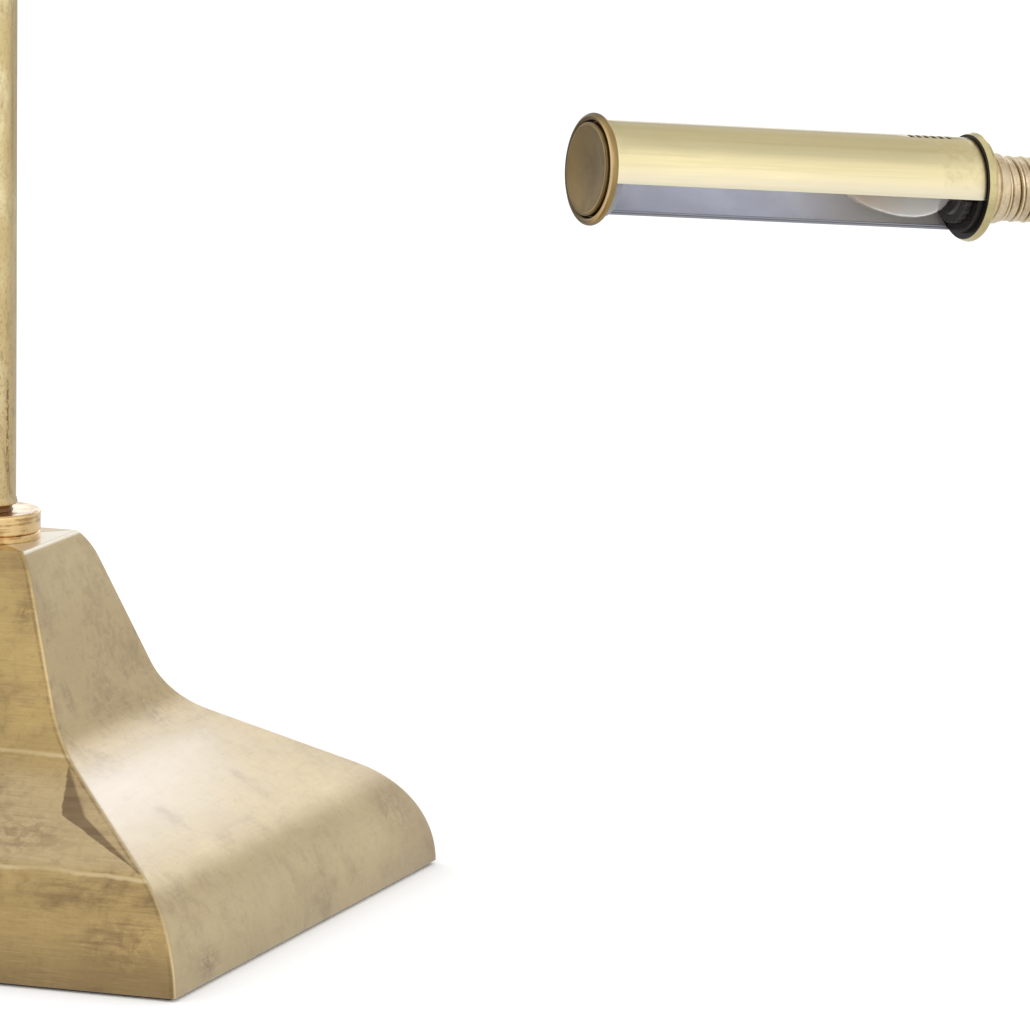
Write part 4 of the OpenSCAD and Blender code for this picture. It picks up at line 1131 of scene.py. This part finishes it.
def slotted_sheet(name, radius, wall, low, high, margin, slot, node):
    """A rolled sheet open along its slot, with vents over the bulb and softly broken edges."""
    vent_span = math.radians(84)
    vent_first, vent_pitch, vent_width, vents = 0.012, 0.00374, 0.002, 6
    side_arcs, vent_arcs, tail_steps = 24, 24, 24
    wrap = 2*math.pi - SLOT_ANGLE - 2*margin
    side = (wrap - vent_span)/2
    angles = [-wrap/2 + side*k/side_arcs for k in range(side_arcs)]
    angles += [-vent_span/2 + vent_span*k/vent_arcs for k in range(vent_arcs)]
    angles += [vent_span/2 + side*k/side_arcs for k in range(side_arcs + 1)]
    edges = [vent_first + k*vent_pitch + s*vent_width/2 for k in range(vents) for s in (-1, 1)]
    tail = [edges[-1] + (high - edges[-1])*k/tail_steps for k in range(1, tail_steps + 1)]
    stations = [low, (low + edges[0])/2] + edges + tail
    points = [HEAD_FRAME @ Vector((radius*math.cos(a + SLOT_TURN), radius*math.sin(a + SLOT_TURN), h))
              for h in stations for a in angles]
    count = len(angles)
    faces = []
    for j in range(len(stations) - 1):
        vent = 2 <= j < 2 + 2*vents and j % 2 == 0
        for k in range(count - 1):
            if vent and side_arcs <= k < side_arcs + vent_arcs:
                continue
            near, far = j*count + k, (j + 1)*count + k
            faces.append((near, near + 1, far + 1, far))
    sheet = mesh_object(name, points, faces)
    thick = sheet.modifiers.new("wall", "SOLIDIFY")
    thick.thickness = wall
    thick.offset = 0.0
    soft = sheet.modifiers.new("edge", "BEVEL")
    soft.width = wall*0.28
    soft.segments = 2
    soft.angle_limit = math.radians(60)
    settle(baked(sheet), slot, "shade", node)


def build_shade():
    """The slotted tube, its enamelled lining, the beaded end cap and its dished disc."""
    end = SHADE_END
    slotted_sheet("shade_sheet", *SHADE_SHEET, 0.0002, end, 0.0, "shade_brass", "shade_tube")
    slotted_sheet("shade_lining", *LINING_SHEET, 0.0031, end - 0.0041, math.radians(1), "white_enamel",
                  "shade_reflector")
    bore, bead, ring, hole = 0.0207, 0.0019, 0.0229, 0.0026
    lip, plate = end - 0.004, end + 0.002
    cap = [(bore - 0.002, lip), (bore, lip), (bore, end)]
    cap += arc((ring, end + bead + 0.0001), bead, -math.pi/2, math.pi*0.94, 28)
    cap += [(ring - bead - 0.0001, plate - 0.0006), (hole, plate - 0.0006), (hole, end), (bore - 0.002, end)]
    turned_piece("beaded_cap", cap, "antique_brass", "shade", "end_cap", HEAD_FRAME)
    disc, rim, dish, edge = 0.0206, 0.0190, 0.0012, 0.0007
    front, stud, back = plate + 0.0028, 0.0025, end - 0.006
    button = [(stud, back), (stud, plate), (disc, plate)]
    button += arc((disc - edge, front - edge), edge, 0.0, math.pi/2, 6)
    button += [(rim + 0.0004, front)]
    button += [(rim*k/12, front - dish*(1 - (k/12)**2)) for k in range(12, -1, -1)]
    button += [(0.0, back)]
    turned_piece("dished_disc", button, "antique_brass", "shade", "cap_button", HEAD_FRAME)
    dress("zinc_steel", "cap_nut")


def bulb_radius(share, belly_radius, neck_radius):
    """Radius of the candle bulb at a share of its length."""
    belly = 0.29
    if share < belly:
        return neck_radius + (belly_radius - neck_radius)*math.sqrt(1 - (1 - share/belly)**2)
    taper = min((share - belly)/(1 - belly), 1.0)
    return belly_radius*(1 - taper**2)**0.85


def build_bulb():
    """Blown glass, and the finishes of the bulb's cap and filament."""
    base, tall, wall, steps = 0.010, 0.057, 0.0009, 64
    belly, neck = 0.0148, 0.0062
    shares = [(1 - math.cos(math.pi*k/steps))/2 for k in range(steps + 1)]
    radii = [bulb_radius(share, belly, neck) for share in shares]
    outer = [(r, base + tall*share) for r, share in zip(radii, shares)]
    inner = [(max(r - wall, 0.0), base + (tall - wall)*share) for r, share in zip(radii, shares)]
    turned_piece("blown_glass", outer + inner[::-1], "bulb_clear", "head", "bulb_glass", HEAD_FRAME, 72)
    dress("bulb_metal", "bulb_cap")
    dress("filament_wire", "bulb_filament")


def build_inside():
    """Finishes of the pieces that stay as they are."""
    dress("zinc_steel", "rim_frame", "base_plate", "plate_screws", "tie_rod", "lock_washer", "lock_nut",
          "swivel_nut")
    dress("ballast_iron", "ballast_weight")
    dress("felt", "felt_sheet")
    dress("grommet_rubber", "cord_grommet")
    dress("plug_brass", "pole_plug")
    dress("nylon", "guide_bush", "riser_foot", "swivel_bush")
    dress("black_plastic", "switch_body")


def build_camera():
    """Camera at the photograph's viewing angle, worked out in the photograph's pixels."""
    photo_side = 1030
    sensor = 36.0
    focal_pixels = 9001.0
    distance = 3.8705
    azimuth, pitch, roll = math.radians(-24.761), math.radians(9.757), math.radians(0.692)
    origin_x, origin_y = -13.82, 900.54
    back = Vector((math.sin(azimuth)*math.cos(pitch), -math.cos(azimuth)*math.cos(pitch), math.sin(pitch)))
    level = Vector((math.cos(azimuth), math.sin(azimuth), 0.0))
    rise = back.cross(level)
    right = math.cos(roll)*level + math.sin(roll)*rise
    up = -math.sin(roll)*level + math.cos(roll)*rise
    aside = (origin_x - photo_side/2)*distance/focal_pixels
    below = (origin_y - photo_side/2)*distance/focal_pixels
    lens = bpy.data.cameras.new("camera")
    lens.sensor_width = sensor
    lens.lens = sensor*focal_pixels/photo_side
    lens.clip_end = 200.0
    camera = linked("camera", lens)
    turn = Matrix((right, up, back)).transposed().to_4x4()
    camera.matrix_world = Matrix.Translation(below*up - aside*right + distance*back) @ turn
    bpy.context.scene.camera = camera


def soft_light(name, place, target, size, watts):
    """A soft light that the camera doesn't see."""
    lamp = bpy.data.lights.new(name, "AREA")
    lamp.shape = "RECTANGLE"
    lamp.size, lamp.size_y = size
    lamp.energy = watts
    light = linked(name, lamp)
    light.location = place
    light.rotation_euler = (Vector(target) - Vector(place)).to_track_quat("-Z", "Y").to_euler()
    light.visible_camera = False


def build_world():
    """Pale studio: white to the eye, with a darker ceiling and left side for the metal to mirror."""
    world = bpy.data.worlds.new("studio")
    world.use_nodes = True
    bpy.context.scene.world = world
    graph = Graph(world.node_tree)
    band, zone = graph.band, graph.zone
    seen, mirrored, through = graph.rays("Camera", "Glossy", "Transmission")
    east, north, height = graph.split(graph.node("ShaderNodeTexCoord", output="Generated"))
    ambient = 1.25
    side = 0.5 + band(east, 0.05, 0.40)*0.5
    overhead = band(height, 0.52, 0.84)
    behind = band(north, 0.10, 0.50)*band(height, 0.22, 0.34)
    window = band(east, 0.50, 0.62)*band(north, 0.40, 0.64)*zone(height, 0.16, 0.40, 0.46, 0.66)
    dusk = overhead.math("MAXIMUM", overhead, behind)*side*0.48*(1.0 - window)
    left = band(-east, 0.10, 0.95)*0.36
    right = band(east, 0.55, 0.90)*0.30
    skyline = band(north, 0.30, 0.80)*zone(height, 0.0, 0.06, 0.20, 0.30)*0.28
    mirror = 1.20 - dusk - left - right + skyline + window*0.30
    strength = ambient + (seen + through)*(1.0 - ambient) + mirrored*(mirror - ambient)
    background = world.node_tree.nodes["Background"]
    graph.feed(background.inputs["Color"], (1.0, 1.0, 1.0))
    graph.feed(background.inputs["Strength"], strength)


def build_floor():
    """Plain pale floor that keeps the lamp's soft shadow, brighter in front for the metal to mirror."""
    half = 60.0
    mesh = bpy.data.meshes.new("floor")
    mesh.from_pydata([(-half, -half, 0.0), (half, -half, 0.0), (half, half, 0.0), (-half, half, 0.0)], [],
                     [(0, 1, 2, 3)])
    material = bpy.data.materials.new("pale_floor")
    material.use_nodes = True
    graph = Graph(material.node_tree)
    nodes = material.node_tree.nodes
    nodes.remove(nodes["Principled BSDF"])
    mirrored, through = graph.rays("Glossy", "Transmission")
    along = graph.split(graph.node("ShaderNodeTexCoord", output="Object"))[1]
    front = graph.band(-along, 0.3, 1.4)
    behind = graph.band(along, 0.5, 1.5)
    strength = 1.0 + mirrored*(front*0.28 - behind*0.34 - 0.25)
    matt = graph.node("ShaderNodeBsdfDiffuse", None, {"Color": (0.90, 0.90, 0.90)})
    glow = graph.node("ShaderNodeEmission", None, {"Color": (1.0, 1.0, 1.0), "Strength": strength})
    both = graph.node("ShaderNodeMixShader", None, {0: (mirrored + through)*0.8, 1: matt, 2: glow})
    graph.feed(nodes["Material Output"].inputs["Surface"], both)
    mesh.materials.append(material)
    linked("floor", mesh)


class LAMP_OT_stage(bpy.types.Operator):
    """Set the camera, floor, studio and lights"""

    bl_idname = "lamp.stage"
    bl_label = "Stage"

    def execute(self, context):
        context.scene.view_settings.view_transform = "Standard"
        build_camera()
        build_world()
        build_floor()
        middle = (0.25, 0.0, 0.25)
        soft_light("back_right", (3.2, 2.5, 1.85), middle, (1.0, 0.8), 3.0)
        soft_light("front_left", (-2.2, -2.6, 2.4), middle, (2.2, 2.2), 16.0)
        return {"FINISHED"}


class LAMP_OT_base(bpy.types.Operator):
    """Raise the square brass base"""

    bl_idname = "lamp.base"
    bl_label = "Base"

    def execute(self, context):
        build_base(context.scene.lamp_sizes)
        return {"FINISHED"}


class LAMP_OT_pole(bpy.types.Operator):
    """Turn the collar and the pole"""

    bl_idname = "lamp.pole"
    bl_label = "Collar and pole"

    def execute(self, context):
        build_pole()
        return {"FINISHED"}


class LAMP_OT_riser(bpy.types.Operator):
    """Turn the riser, its clamp and the switch"""

    bl_idname = "lamp.riser"
    bl_label = "Riser and switch"

    def execute(self, context):
        build_riser(context.scene.lamp_sizes)
        return {"FINISHED"}


class LAMP_OT_crook(bpy.types.Operator):
    """Bend the crook and turn its ferrules"""

    bl_idname = "lamp.crook"
    bl_label = "Crook"

    def execute(self, context):
        build_crook()
        return {"FINISHED"}


class LAMP_OT_neck(bpy.types.Operator):
    """Wind the flexible neck"""

    bl_idname = "lamp.neck"
    bl_label = "Neck"

    def execute(self, context):
        build_neck(context.scene.lamp_sizes)
        return {"FINISHED"}


class LAMP_OT_head(bpy.types.Operator):
    """Turn the flange and ferrule of the head"""

    bl_idname = "lamp.head"
    bl_label = "Head fittings"

    def execute(self, context):
        build_head()
        return {"FINISHED"}


class LAMP_OT_shade(bpy.types.Operator):
    """Roll the slotted shade and turn its end cap"""

    bl_idname = "lamp.shade"
    bl_label = "Shade"

    def execute(self, context):
        build_shade()
        return {"FINISHED"}


class LAMP_OT_bulb(bpy.types.Operator):
    """Blow the bulb"""

    bl_idname = "lamp.bulb"
    bl_label = "Bulb"

    def execute(self, context):
        build_bulb()
        return {"FINISHED"}


class LAMP_OT_inside(bpy.types.Operator):
    """Finish the pieces inside the lamp"""

    bl_idname = "lamp.inside"
    bl_label = "Inner pieces"

    def execute(self, context):
        build_inside()
        return {"FINISHED"}


OPERATORS = [LAMP_OT_stage, LAMP_OT_base, LAMP_OT_pole, LAMP_OT_riser, LAMP_OT_crook, LAMP_OT_neck,
             LAMP_OT_head, LAMP_OT_shade, LAMP_OT_bulb, LAMP_OT_inside]


class LAMP_PT_panel(bpy.types.Panel):
    """Steps of the reading lamp"""

    bl_idname = "LAMP_PT_panel"
    bl_label = "Reading Lamp"
    bl_space_type = "VIEW_3D"
    bl_region_type = "UI"
    bl_category = "Reading Lamp"

    def draw(self, context):
        for operator in OPERATORS:
            self.layout.operator(operator.bl_idname)
        for group in (context.scene.lamp_sizes, context.scene.lamp_colours):
            for name in group.bl_rna.properties.keys():
                if name not in ("rna_type", "name"):
                    self.layout.prop(group, name)


CLASSES = [LampSizes, LampColours, *OPERATORS, LAMP_PT_panel]


def register():
    for made in CLASSES:
        bpy.utils.register_class(made)
    bpy.types.Scene.lamp_sizes = PointerProperty(type=LampSizes)
    bpy.types.Scene.lamp_colours = PointerProperty(type=LampColours)


def unregister():
    del bpy.types.Scene.lamp_colours
    del bpy.types.Scene.lamp_sizes
    for made in reversed(CLASSES):
        bpy.utils.unregister_class(made)


def main():
    """Registers the lamp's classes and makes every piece."""
    register()
    for step in ("stage", "base", "pole", "riser", "crook", "neck", "head", "shade", "bulb", "inside"):
        getattr(bpy.ops.lamp, step)()


if __name__ == "__main__":
    main()
